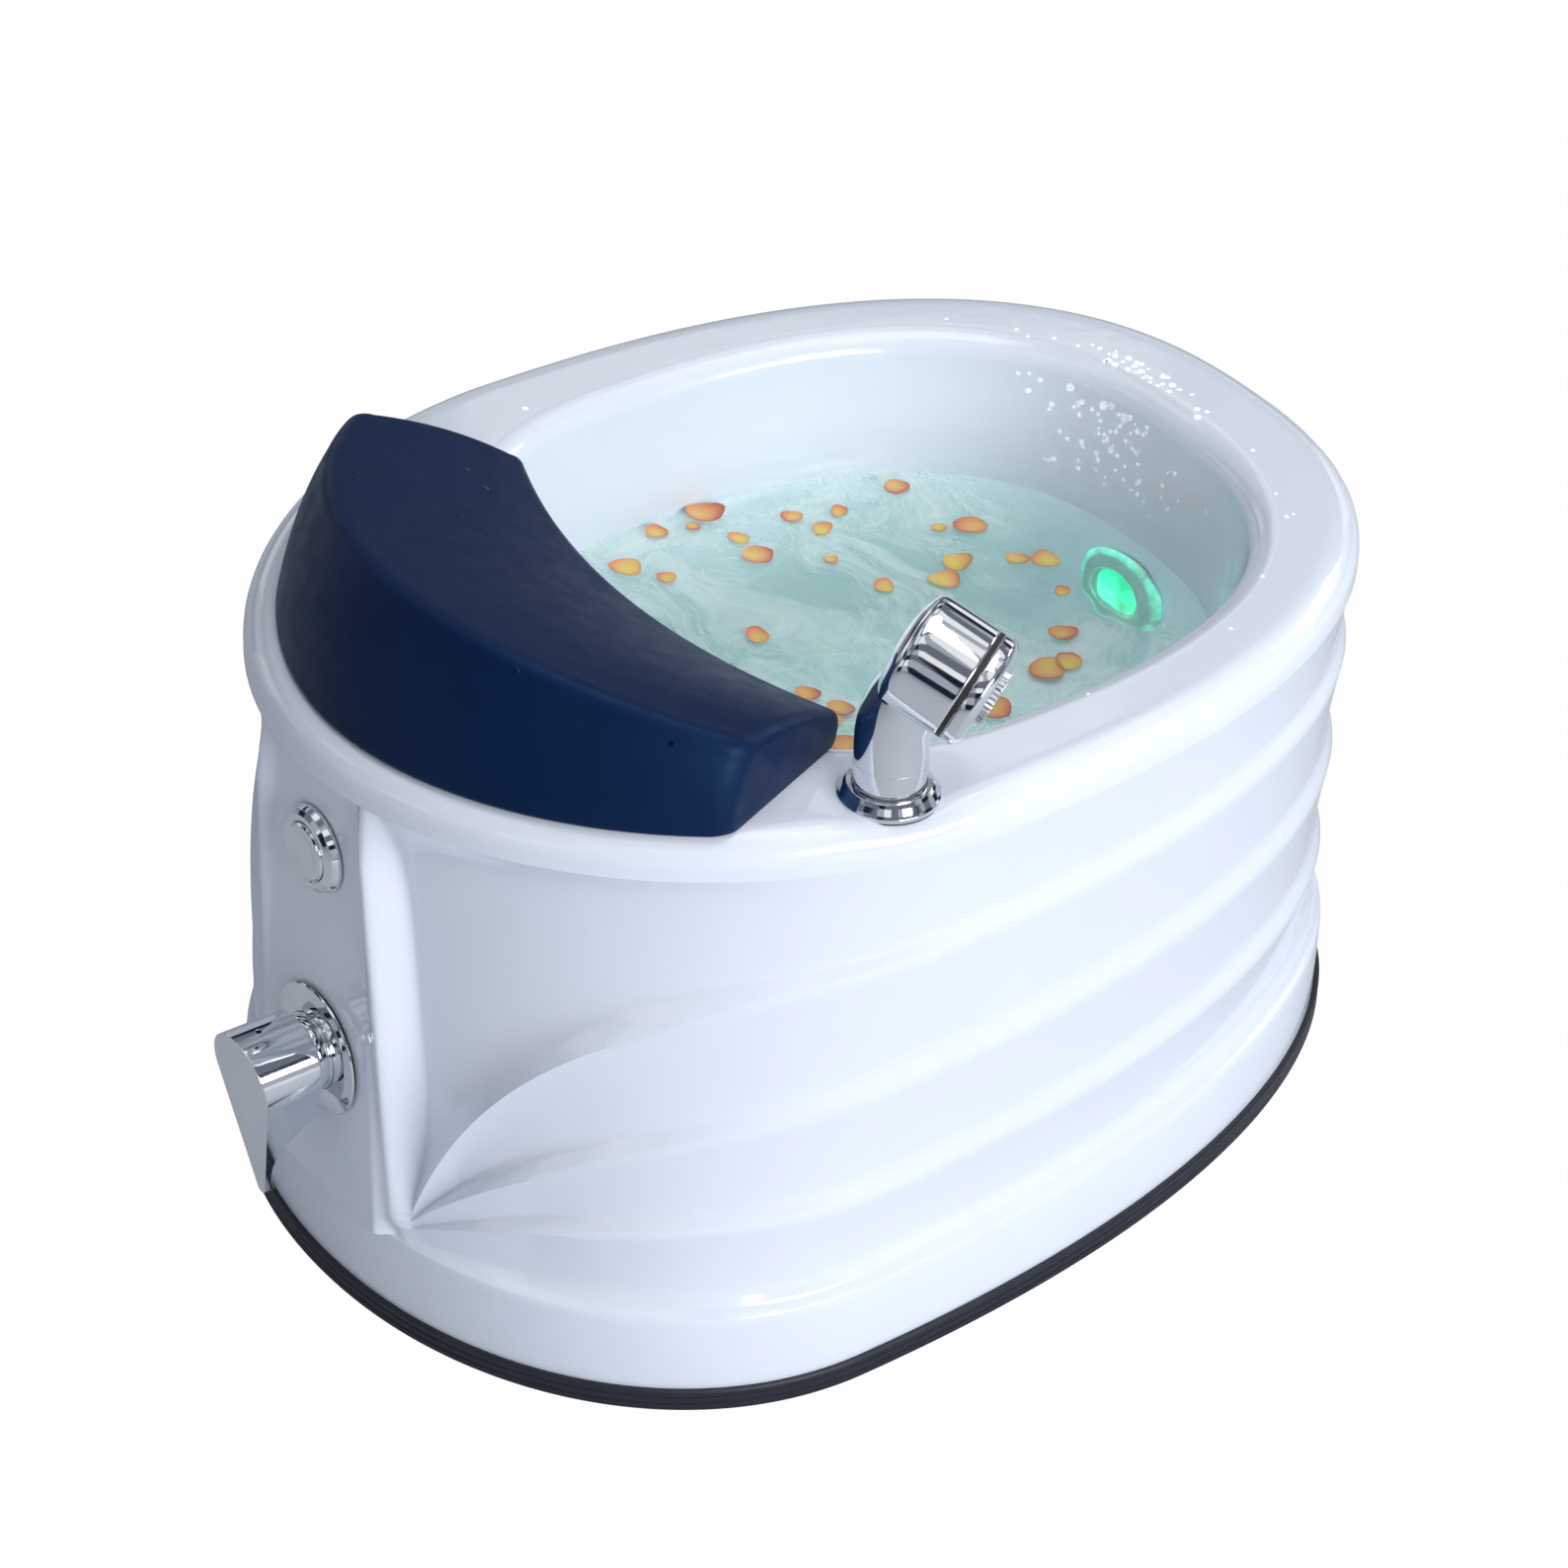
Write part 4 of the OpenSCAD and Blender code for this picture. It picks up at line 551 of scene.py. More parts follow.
# %% Spray head, dial and nozzle
up = np.array([0, 0, 1.0])
foot_at = np.array([*SPRAYER, SEAT_Z])
stem = turned(rounded([(0.5, 9.3), (17, 9.3), (18, 10.3), (18, 22)], 0.6), foot_at, up)
k = np.linspace(0, 1, 30)[:, None]
bend = np.radians(25) * smoothstep((k - 0.1) / 0.55)
radii = 18 - 2.2 * smoothstep((k - 0.45) / 0.55)
steps = lean_way * np.sin(bend) + up * np.cos(bend)
spine = foot_at + up * 22 + np.concatenate([[np.zeros(3)], np.cumsum(steps[:-1] * 57 / 29, axis=0)])
q = np.linspace(0, 2 * np.pi, 144, endpoint=False)[None, :, None]
beside = np.cross(up, lean_way)
circles = np.cos(q) * np.cross(beside, steps)[:, None] + np.sin(q) * beside
neck_rings = spine[:, None] + radii[..., None] * circles
neck = (neck_rings.reshape(-1, 3), capped(30, 144))
shank = turned([(7.5, -54), (11, -53.6), (11, 10), (7.5, 10)], foot_at, up)
dome = [(0.2, -4), (11, -3.4), (20, -1.6), (25, 0.4), (27.8, 2.4), (28.8, 4.6), (HEAD_R, 8)]
shell_profile = [(r, HEAD_BACK + z) for r, z in dome]
shell_profile += [(HEAD_R, FACE - 0.6), (HEAD_R - 0.6, FACE), (HEAD_R - 3, FACE), (HEAD_R - 3, FACE - 11),
                  (0.2, FACE - 11)]
head = turned(rounded(shell_profile, 1.2), head_centre, head_axis)
sprayer = assemble("sprayer_casting", stem, neck, shank, head)
dial_foot = FACE + 2.7
dial_section = [(15.1, 0), (HEAD_R - 0.4, 0), (HEAD_R - 0.4, 6), (HEAD_R - 3, 9), (21.5, 9), (20.5, 7.6),
                (15.1, 7), (15.1, 0)]
dial_profile = rounded([(r, dial_foot + z) for r, z in dial_section], 0.9)
dial = assemble("dial_ring", turned(dial_profile, head_centre, head_axis))
nozzle_section = [(0.2, -11), (12, -11), (12, -6), (HEAD_R - 3.1, -6), (HEAD_R - 3.1, 2.4), (15, 2.4)]
nozzle_section += [(15, z) for z in np.linspace(4, 15, 12)]
nozzle_section += [(14.6, 15.4), (12.5, 15.4), (11.8, 14.4), (4, 14.0), (3.2, 14.8), (0.2, 15)]
nozzle_profile = [(r, FACE + z) for r, z in nozzle_section]
ribbed_zone = (FACE + 9.5, FACE + 15.2)
nozzle = assemble("ribbed_nozzle",
                  turned(nozzle_profile, head_centre, head_axis, 288, 36, 0.9, ribbed_zone))
for piece, body, node in ((sprayer, "sprayer", "sprayer_body"), (dial, "spray_dial", "spray_dial"),
                          (nozzle, "sprayer", "spray_nozzle")):
    piece.data.set_sharp_from_angle(angle=np.radians(40))
    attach(piece, body)
    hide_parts(node)

# %% [markdown]
# ## Materials
# Each finish is a small node tree. The helper makes a Principled material with a colour
# that varies a little, and a bump from fine noise, all on Object coordinates, so that the
# pattern stays with the piece when it moves.

# %% Material helper
class Finish:
    """A Principled material and short ways to add nodes to it."""

    def __init__(self, name, **inputs):
        self.material = bpy.data.materials.new(name)
        self.material.use_nodes = True
        self.tree = self.material.node_tree
        self.shader = self.tree.nodes["Principled BSDF"]
        self.place = self.add("ShaderNodeTexCoord").outputs["Object"]
        for key, value in inputs.items():
            self.shader.inputs[key.replace("_", " ")].default_value = value

    def add(self, kind, links=None, **values):
        """A node; links maps input names to sockets, values set properties or input values."""
        node = self.tree.nodes.new(kind)
        for key, value in values.items():
            if hasattr(node, key):
                setattr(node, key, value)
            else:
                node.inputs[key.replace("_", " ")].default_value = value
        for key, socket in (links or {}).items():
            self.tree.links.new(socket, node.inputs[key])
        return node

    def noise(self, scale, detail=3.0, rough=0.55, stretch=None):
        """Noise from 0 to 1 in the piece's own place; stretch squeezes it along an axis."""
        where = self.place
        if stretch is not None:
            where = self.add("ShaderNodeMapping", {"Vector": where}, Scale=stretch).outputs[0]
        node = self.add("ShaderNodeTexNoise", {"Vector": where}, Scale=scale, Detail=detail, Roughness=rough)
        return node.outputs["Fac"]

    def math(self, operation, a, b):
        """A sum, product or the like of a socket and another socket or a number."""
        node = self.add("ShaderNodeMath", {0: a}, operation=operation)
        if isinstance(b, (int, float)):
            node.inputs[1].default_value = b
        else:
            self.tree.links.new(b, node.inputs[1])
        return node.outputs[0]

    def away_from(self, point):
        """Distance in metres from a point given in mm."""
        node = self.add("ShaderNodeVectorMath", {0: self.place}, operation="DISTANCE")
        node.inputs[1].default_value = tuple(float(w) * MM for w in point)
        return node.outputs["Value"]

    def mixed(self, share, a, b, slots, data_type):
        """a and b mixed by share; each is a socket or a value for its input slot."""
        node = self.add("ShaderNodeMix", data_type=data_type)
        for slot, value in zip((0, *slots), (share, a, b)):
            if isinstance(value, bpy.types.NodeSocket):
                self.tree.links.new(value, node.inputs[slot])
            else:
                node.inputs[slot].default_value = value
        return node

    def shown_as(self, share, a, b):
        """Sends a mix of two shaders to the surface."""
        mix = self.add("ShaderNodeMixShader", {0: share, 1: a, 2: b})
        self.tree.links.new(mix.outputs[0], self.tree.nodes["Material Output"].inputs["Surface"])

    def between(self, socket, low, high, from_low=0.3, from_high=0.7):
        """Maps a 0 to 1 pattern onto a range of numbers."""
        node = self.add("ShaderNodeMapRange", {"Value": socket})
        for key, value in (("From Min", from_low), ("From Max", from_high), ("To Min", low), ("To Max", high)):
            node.inputs[key].default_value = value
        return node.outputs[0]

    def tone(self, socket, *colours):
        """A colour ramp over a 0 to 1 pattern: pairs of place and colour."""
        ramp = self.add("ShaderNodeValToRGB", {"Fac": socket})
        while len(ramp.color_ramp.elements) < len(colours):
            ramp.color_ramp.elements.new(0.5)
        for element, (place, colour) in zip(ramp.color_ramp.elements, colours):
            element.position, element.color = place, (*colour, 1)
        return ramp.outputs["Color"]

    def set(self, name, socket):
        self.tree.links.new(socket, self.shader.inputs[name])
        return self

    def bump(self, *layers, edge=0.0):
        """Bumps on top of each other: (pattern, height in metres); edge softens sharp edges first."""
        normal = self.add("ShaderNodeBevel", samples=6, Radius=edge).outputs[0] if edge else None
        for socket, height in layers:
            node = self.add("ShaderNodeBump", {"Height": socket}, Strength=1.0, Distance=height)
            if normal is not None:
                self.tree.links.new(normal, node.inputs["Normal"])
            normal = node.outputs["Normal"]
        self.tree.links.new(normal, self.shader.inputs["Normal"])
        return self


def paint(material, *pieces):
    """Puts one material in every slot of the pieces."""
    for piece in pieces:
        piece.data.materials.clear()
        piece.data.materials.append(material)


finish = {}

# %% [markdown]
# Sanitary acrylic is white with a deep gloss. Up close the gloss is never quite flat:
# the sheet keeps a faint orange peel from forming, and use leaves hair-fine dulling.

# %% Acrylic
f = Finish("acrylic", Roughness=0.07, Coat_Weight=0.35, Coat_Roughness=0.03, IOR=1.49)
f.set("Base Color", f.tone(f.noise(6, 4), (0.35, (0.775, 0.828, 0.935)), (0.65, (0.795, 0.846, 0.950))))
f.set("Roughness", f.between(f.noise(30, 5), 0.05, 0.10))
f.bump((f.noise(55, 2), 0.00012), (f.noise(900, 1), 0.000004))
finish["acrylic"] = f.material
paint(f.material, basin, skirt)

# %% [markdown]
# Integral-skin foam is matt and slightly rubbery: a fine leather-like grain, a broad
# unevenness of a millimetre or less, and a soft sheen at grazing angles.

# %% Footrest skin
f = Finish("cushion_skin", Sheen_Weight=0.03, Sheen_Roughness=0.35, Sheen_Tint=(0.3, 0.6, 1, 1),
           Specular_IOR_Level=0.3, Specular_Tint=(0.28, 0.58, 1.0, 1))
grain = f.add("ShaderNodeTexVoronoi", {"Vector": f.place}, Scale=1400, feature="DISTANCE_TO_EDGE")
skin = f.tone(f.noise(14, 5), (0.3, (0.0008, 0.0085, 0.0430)), (0.7, (0.0018, 0.0120, 0.0540)))
# Splashed drops: a few of the cells of a coarse pattern hold a small smooth dome of water.
cells = f.add("ShaderNodeTexVoronoi", {"Vector": f.place}, Scale=62, Randomness=1.0).outputs
pick = f.add("ShaderNodeSeparateColor", {"Color": cells["Color"]}).outputs
held = f.math("GREATER_THAN", pick[0], 0.80)
near = f.math("DIVIDE", cells["Distance"], f.between(pick[1], 0.07, 0.19, 0.0, 1.0))
dome = f.add("ShaderNodeMapRange", {"Value": near}, interpolation_type="SMOOTHSTEP")
for key, value in (("From Min", 0.55), ("From Max", 1.0), ("To Min", 1.0), ("To Max", 0.0)):
    dome.inputs[key].default_value = value
drop = f.math("MULTIPLY", dome.outputs[0], held)
WET_SKIN, WET_ROUGH = (0.0010, 0.0035, 0.013, 1), 0.05
f.set("Base Color", f.mixed(drop, skin, WET_SKIN, (6, 7), "RGBA").outputs[2])
dry = f.between(f.noise(70, 4), 0.40, 0.52)
f.set("Roughness", f.mixed(drop, dry, WET_ROUGH, (2, 3), "FLOAT").outputs[0])
f.bump((f.noise(18, 2), 0.0006), (f.noise(160, 3), 0.00005), (grain.outputs["Distance"], 0.00003),
       (drop, 0.0009))
finish["cushion_skin"] = f.material
paint(f.material, rest)

# %% [markdown]
# Plated brass fittings are chrome: near mirror, with a trace of polishing haze and dried
# water on the faces.

# %% Chrome
f = Finish("chrome", Metallic=1.0, Roughness=0.06)
f.set("Base Color", f.tone(f.noise(40, 4), (0.3, (0.74, 0.76, 0.79)), (0.7, (0.80, 0.82, 0.85))))
f.set("Roughness", f.between(f.noise(120, 6), 0.03, 0.09))
f.bump((f.noise(35, 2), 0.00008), edge=0.0006)
finish["chrome"] = f.material

# %% Other finishes
def plain(name, dark, light, rough=(0.4, 0.55), scale=60, height=0.00003, metallic=0.0, **inputs):
    """A finish with two close tones, a roughness range and a fine bump."""
    f = Finish(name, Metallic=metallic, **inputs)
    f.set("Base Color", f.tone(f.noise(scale / 3, 4), (0.3, dark), (0.7, light)))
    f.set("Roughness", f.between(f.noise(scale, 4), *rough))
    f.bump((f.noise(scale * 4, 3), height))
    finish[name] = f.material
    return f


plain("trim_rubber", (0.006, 0.008, 0.017), (0.011, 0.014, 0.027), (0.38, 0.5), 300, 0.00002)
plain("zinc_steel", (0.42, 0.43, 0.46), (0.58, 0.59, 0.61), (0.22, 0.4), 90, 0.00002, 1.0)
plain("black_rubber", (0.010, 0.010, 0.011), (0.020, 0.020, 0.021), (0.5, 0.65), 200, 0.00004)
plain("clear_vinyl", (0.30, 0.33, 0.36), (0.42, 0.45, 0.48), (0.12, 0.22), 60, 0.00002,
      Transmission_Weight=0.35, IOR=1.5)
plain("brass", (0.48, 0.31, 0.10), (0.62, 0.43, 0.17), (0.18, 0.34), 110, 0.00002, 1.0)
plain("white_nylon", (0.72, 0.72, 0.70), (0.80, 0.80, 0.78), (0.35, 0.5), 120, 0.00003)
plain("black_plastic", (0.012, 0.012, 0.014), (0.024, 0.024, 0.027), (0.3, 0.45), 150, 0.00003)
plain("grey_plastic", (0.34, 0.36, 0.39), (0.40, 0.42, 0.45), (0.4, 0.55), 250, 0.00006)
plain("satin_plastic", (0.60, 0.63, 0.66), (0.70, 0.73, 0.76), (0.16, 0.28), 80, 0.00002)
plain("circuit", (0.008, 0.09, 0.03), (0.02, 0.14, 0.05), (0.3, 0.45), 200, 0.00004)

f = Finish("board", Roughness=0.5)
wood = f.noise(5, 6, 0.6, stretch=(1.0, 14.0, 14.0))
f.set("Base Color", f.tone(wood, (0.3, (0.34, 0.21, 0.10)), (0.5, (0.50, 0.34, 0.18)),
                           (0.7, (0.60, 0.43, 0.25))))
f.bump((f.noise(40, 4, stretch=(1.0, 10.0, 10.0)), 0.0001))
finish["board"] = f.material

f = Finish("lens", Roughness=0.2, Emission_Strength=1.1)
f.set("Base Color", f.tone(f.noise(60, 3), (0.3, (0.05, 0.75, 0.30)), (0.7, (0.12, 0.9, 0.42))))
f.set("Emission Color", f.tone(f.noise(55, 4), (0.36, (0.0, 0.34, 0.17)), (0.50, (0.01, 0.70, 0.38)),
                               (0.66, (0.13, 1.0, 0.66))))
f.bump((f.noise(150, 3), 0.0002))
finish["lens"] = f.material

# Painted glow: the bezel is no lamp, and its emission stands for the lens's light caught along its outer edge,
# more in some places than in others.
f = Finish("light_bezel", Roughness=0.12, Coat_Weight=0.5, Emission_Strength=0.75)
rim_glow = f.between(f.away_from(light_centre), 0.0, 1.0, 0.0290, 0.0315)
share = f.math("MULTIPLY", rim_glow, f.between(f.noise(70, 4), 0.15, 1.0, 0.38, 0.60))
f.set("Base Color", f.tone(f.noise(80, 3), (0.3, (0.30, 0.46, 0.43)), (0.7, (0.40, 0.56, 0.53))))
f.set("Emission Color", f.tone(share, (0.0, (0.01, 0.07, 0.05)), (0.5, (0.01, 0.55, 0.34)),
                               (1.0, (0.09, 0.95, 0.68))))
f.bump((f.noise(120, 3), 0.0002), edge=0.0006)
finish["light_bezel"] = f.material

slot_of = {part["node"]: part["material_slot"] for part in frame["record"]["subparts"]}
for name, node in nodes.items():
    paint(finish.get(name, finish[slot_of[name]]), node)
paint(finish["trim_rubber"], trim)
paint(finish["chrome"], sprayer, dial, nozzle)
print("finishes:", len(finish), "for", len(slot_of), "nodes")

# %% [markdown]
# ## Water, petals and drops
# The tub is shown filled, with flower petals afloat. None of this belongs to the tub, so
# it is dressing, as the floor is. The water is a closed body that reaches just into the
# bowl's wall. Its top is a sum of ripples that run several ways.

# %% Water surface
WATER_Z, STEEPNESS = 259.0, 0.0030
rng = np.random.default_rng(7)


def ripples(xy, seed=3, waves=44):
    """Height in mm: short crossing waves of random direction on bent coordinates."""
    r = np.random.default_rng(seed)
    length = np.exp(r.uniform(np.log(12), np.log(80), waves))
    heading, phase = r.uniform(0, 2 * np.pi, waves), r.uniform(0, 2 * np.pi, waves)
    bend = 14 * np.stack([np.sin(xy[..., 1] / 37 + 1), np.sin(xy[..., 0] / 31)], -1)
    q = xy + bend
    total = 0
    for size, way, start in zip(length, heading, phase):
        along = q[..., 0] * np.cos(way) + q[..., 1] * np.sin(way)
        total = total + size * STEEPNESS * np.sin(2 * np.pi / size * along + start)
    return total


water_angles = stations(BOWL, 300)
edge_line = wall_outline(water_angles, WATER_Z, 0.8)
centre = np.array([MID_X, 40.0])
shares = np.linspace(0, 1, 130)
top_xy = blend(centre, edge_line[None], shares[::-1][:-1, None, None])
calm = 1 - 0.55 * shares[::-1][:-1, None] ** 6
surface = level_ring(top_xy, WATER_Z + ripples(top_xy) * calm)
depths = np.linspace(WATER_Z, FLOOR_Z + FILLET, 8)[1:]
sides = [level_ring(wall_outline(water_angles, z, 0.8), z) for z in depths]
foot = sides[-1]
corner = level_ring(outline(FLOOR, water_angles, 0.8), FLOOR_Z - 0.8)
inside = level_ring(outline(FLOOR, water_angles, -FILLET), FLOOR_Z - 0.8)
sides += [foot * (1 - t) ** 2 + corner * 2 * t * (1 - t) + inside * t * t for t in np.linspace(0, 1, 6)[1:]]
body = np.concatenate([surface[::-1], np.stack(sides)])
m_rows, m_cols = body.shape[:2]
water = mesh_object("water", body.reshape(-1, 3) * MM, [face[::-1] for face in capped(m_rows, m_cols)])

# %% Water material
f = Finish("water", Roughness=0.0, IOR=1.333, Transmission_Weight=1.0, Base_Color=(0.90, 0.965, 0.955, 1))
# Painted reflection: long white swirls, a diffuse white that stands for the bright room reflected in the
# ripples, laid where a stretched noise whose place is bent by a coarser one is high. They thin out over the
# light.
bent = f.add("ShaderNodeTexNoise", {"Vector": f.place}, Scale=7, Detail=2).outputs["Color"]
swirl_at = f.mixed(0.16, f.place, bent, (4, 5), "VECTOR").outputs[1]
drawn_out = f.add("ShaderNodeMapping", {"Vector": swirl_at}, Scale=(1.0, 2.6, 1.0)).outputs[0]
swirls = f.add("ShaderNodeTexNoise", {"Vector": drawn_out}, Scale=11, Detail=7, Roughness=0.62,
               Distortion=1.2).outputs["Fac"]
thinned = f.between(f.away_from((*light_centre[:2], WATER_Z)), 0.05, 1.0, 0.035, 0.095)
# The share of painted reflection is the swirl noise, thinned over the light; below, its diffuse white is mixed
# into the water.
swirl_reflection = f.math("MULTIPLY", f.between(swirls, 0.16, 0.82, 0.42, 0.70), thinned)
painted_reflection = f.add("ShaderNodeBsdfDiffuse", Color=(0.79, 0.92, 0.91, 1))
path = f.add("ShaderNodeLightPath").outputs
clear = f.add("ShaderNodeBsdfTransparent")
topped = f.add("ShaderNodeMixShader", {0: swirl_reflection, 1: f.shader.outputs[0], 2: painted_reflection.outputs[0]})
f.shown_as(path["Is Shadow Ray"], topped.outputs[0], clear.outputs[0])
absorb = f.add("ShaderNodeVolumeAbsorption", Color=(0.62, 0.90, 0.77, 1), Density=1.4)
f.tree.links.new(absorb.outputs[0], f.tree.nodes["Material Output"].inputs["Volume"])
paint(f.material, water)

# %% [markdown]
# Each petal is a small cupped sheet, r = (1 - 0.16 cos a) with a nick at the tip, that
# rides on the ripples. One attribute runs from its base to its edge and drives its colour.

# %% Petals
petal_at = np.array([
    (-135, -16, 10), (-156, 16, 7), (-150, 36, 5), (-157, 47, 12), (-127, 50, 7), (-110, 47, 10),
    (-129, 86, 7), (-111, 91, 7), (-119, 108, 6), (-125, 150, 8), (-86, 79, 5), (-46, 3, 8),
    (-116, -4, 6), (-49, 86, 7), (-38, 115, 10), (-48, 131, 9), (-70, 159, 11), (-80, 145, 5),
    (-33, 160, 8), (-23, 172, 9), (35, 136, 9), (57, 110, 12), (59, 122, 8), (70, 65, 11),
    (27, 1, 9), (34, -9, 8), (56, -17, 10), (9, -7, 8), (4, 161, 5)], float)  # x, y and size, mm
PETAL_SCALE, PETAL_THICK = 0.88, 0.35
rings_n, spokes = 7, 28
points, faces, shade = [], [], []
for i, (x, y, radius) in enumerate(petal_at * [1, 1, PETAL_SCALE]):
    around_angle = np.linspace(0, 2 * np.pi, spokes, endpoint=False)
    share = np.linspace(0.0, 1, rings_n)[:, None]
    nick = 0.10 * np.exp(-((around_angle - np.pi) / 0.3) ** 2)
    reach = radius * (1 - 0.16 * np.cos(around_angle) - nick + 0.05 * np.sin(3 * around_angle + i))
    u = share * reach * np.cos(around_angle)
    v = share * reach * np.sin(around_angle) * rng.uniform(0.76, 1.0)
    cup = rng.uniform(0.10, 0.28) * (u ** 2 + v ** 2) / radius + rng.uniform(-0.12, 0.2) * u * v / radius
    heading = rng.uniform(0, 2 * np.pi)
    px = x + u * np.cos(heading) - v * np.sin(heading)
    py = y + u * np.sin(heading) + v * np.cos(heading)
    top = np.stack([px, py, WATER_Z + 0.7 + ripples(np.stack([px, py], -1)) * 0.8 + cup + 0.4], -1)
    start = sum(len(q) for q in points)
    sheet_points = np.concatenate([top.reshape(-1, 3), (top - [0, 0, PETAL_THICK]).reshape(-1, 3)])
    points.append(sheet_points)
    upper = grid_faces(rings_n, spokes, start=start)
    faces += [*upper.tolist(), *(upper[:, ::-1] + rings_n * spokes).tolist()]
    j = start + (rings_n - 1) * spokes + np.arange(spokes)
    faces += np.stack([j, j + rings_n * spokes, np.roll(j, -1) + rings_n * spokes, np.roll(j, -1)], -1).tolist()
    along = 0.12 + share ** 1.4 * (0.40 + 0.30 * (1 - np.cos(around_angle)))
    tint = np.clip(along * 0.95 + rng.uniform(-0.22, 0.18), 0, 1)
    shade += [*tint.reshape(-1), *tint.reshape(-1)]
petals = mesh_object("petals", np.concatenate(points) * MM, faces)
layer = petals.data.attributes.new("tint", "FLOAT", "POINT")
layer.data.foreach_set("value", np.array(shade, np.float32))
f = Finish("petal", Roughness=0.42, Subsurface_Weight=0.25, Subsurface_Scale=0.002)
tint = f.add("ShaderNodeAttribute", attribute_name="tint").outputs["Fac"]
f.set("Base Color", f.tone(tint, (0.0, (0.86, 0.70, 0.16)), (0.42, (0.90, 0.50, 0.19)),
                           (0.78, (0.82, 0.31, 0.15)), (1.0, (0.70, 0.19, 0.13))))
f.set("Roughness", f.between(f.noise(300, 3), 0.3, 0.5))
f.bump((f.noise(700, 2, stretch=(1, 5, 1)), 0.0001))
paint(f.material, petals)

# %% [markdown]
# Drops lie on the far end of the rim and on the bowl wall below it, and a few elsewhere:
# flattened domes of water, h(d) = h (1 - d^2)^0.6, most of them only 2 to 4 mm across.

# %% Drops
spots = []
for k in range(56):
    angle, run = rng.normal(np.radians(191), np.radians(7 if k < 44 else 70)), rng.uniform(0.6, 1)
    outer, inner = (outline(plan, np.array([angle]), out)[0] for plan, out in ((RIM, -16), (BOWL, 12)))
    radius = rng.uniform(0.8, 1.3) * (1 + 1.2 * rng.random() ** 4)
    spots.append((*blend(outer, inner, run), RIM_H, 0, 0, 1, radius))
for _ in range(90):
    angle, z = rng.normal(np.radians(191), np.radians(8)), RIM_H - 14 - 46 * rng.random() ** 1.3
    here, beyond = (wall_outline(np.array([angle]), z, out)[0] for out in (0, 8))
    way = np.array([*((here - beyond) / np.linalg.norm(here - beyond)), 0.18])
    radius = rng.uniform(0.9, 1.5) * (1 + 1.2 * rng.random() ** 4)
    spots.append((*here, z, *(way / np.linalg.norm(way)), radius))
spots = np.array(spots)
DROP_ROWS, DROP_SIDES = 6, 16
around_drop = np.linspace(0, 2 * np.pi, DROP_SIDES, endpoint=False)
rows = np.linspace(0, 1, DROP_ROWS)
points, faces = [], []
for i, (x, y, z, nx, ny, nz, radius) in enumerate(spots):
    n = np.array([nx, ny, nz])
    e1 = np.cross(n, [0.3, 0.2, 0.9] if abs(nz) < 0.9 else [1.0, 0, 0])
    e1 /= np.linalg.norm(e1)
    e2 = np.cross(n, e1)
    circle = np.cos(around_drop)[:, None] * e1 + np.sin(around_drop)[:, None] * e2
    ring_points = radius * rows[:, None, None] * circle
    rise = 0.55 * radius * (1 - rows ** 2) ** 0.6 - 0.05
    points.append((np.array([x, y, z]) + ring_points + rise[:, None, None] * n).reshape(-1, 3))
    start, last = i * DROP_ROWS * DROP_SIDES, (i + 1) * DROP_ROWS * DROP_SIDES
    faces += grid_faces(DROP_ROWS, DROP_SIDES, start=start)[:, ::-1].tolist()
    faces.append(list(range(last - DROP_SIDES, last))[::-1])
drops = mesh_object("drops", np.concatenate(points) * MM, faces)
f = Finish("drop", Roughness=0.0, IOR=1.333, Transmission_Weight=1.0, Base_Color=(1, 1, 1, 1))
path = f.add("ShaderNodeLightPath").outputs
clear = f.add("ShaderNodeBsdfTransparent")
f.shown_as(path["Is Shadow Ray"], f.shader.outputs[0], clear.outputs[0])
paint(f.material, drops)

# %% [markdown]
# ## Floor and light
# A pale floor and a white surround keep the page white. A large soft box lights the long
# side, and two weaker ones the rim from above and from behind. A small green one stands
# before the lens, where only its light shows.

# %% Floor
def sheet_object(name, centre, half_u, half_v):
    """A flat rectangle about centre, spanned by two half-edge vectors, all in metres."""
    c, u, v = (np.asarray(x, float) for x in (centre, half_u, half_v))
    return mesh_object(name, np.array([c - u - v, c + u - v, c + u + v, c - u + v]), [[0, 1, 2, 3]])


floor = sheet_object("floor", (0, 0, -0.0005), (6, 0, 0), (0, 6, 0))
f = Finish("floor", Roughness=0.9, Base_Color=(0.58, 0.61, 0.66, 1), Specular_IOR_Level=0.1)
glow = f.add("ShaderNodeEmission", Color=(1, 1, 1, 1), Strength=1.0)
path = f.add("ShaderNodeLightPath").outputs
f.shown_as(f.math("MULTIPLY", path["Is Camera Ray"], 0.99), f.shader.outputs[0], glow.outputs[0])
paint(f.material, floor)

# %% World
world = bpy.data.worlds.new("surround")
bpy.context.scene.world = world
world.use_nodes = True
tree = world.node_tree
tree.nodes.clear()


def world_node(kind, links=None, **values):
    """A node of the world's tree."""
    node = tree.nodes.new(kind)
    for key, value in values.items():
        if hasattr(node, key):
            setattr(node, key, value)
        else:
            node.inputs[key].default_value = value
    for key, socket in (links or {}).items():
        tree.links.new(socket, node.inputs[key])
    return node


rays = world_node("ShaderNodeLightPath").outputs
seen = world_node("ShaderNodeMath", {0: rays["Is Camera Ray"], 1: rays["Is Glossy Ray"]}, operation="MAXIMUM")
seen = world_node("ShaderNodeMath", {0: seen.outputs[0], 1: rays["Is Transmission Ray"]}, operation="MAXIMUM")
fill = world_node("ShaderNodeBackground", Color=(0.90, 0.94, 1.0, 1), Strength=0.34)
page = world_node("ShaderNodeBackground", Color=(1, 1, 1, 1), Strength=1.0)
both = world_node("ShaderNodeMixShader", {0: seen.outputs[0], 1: fill.outputs[0], 2: page.outputs[0]})
world_node("ShaderNodeOutputWorld", {"Surface": both.outputs[0]})

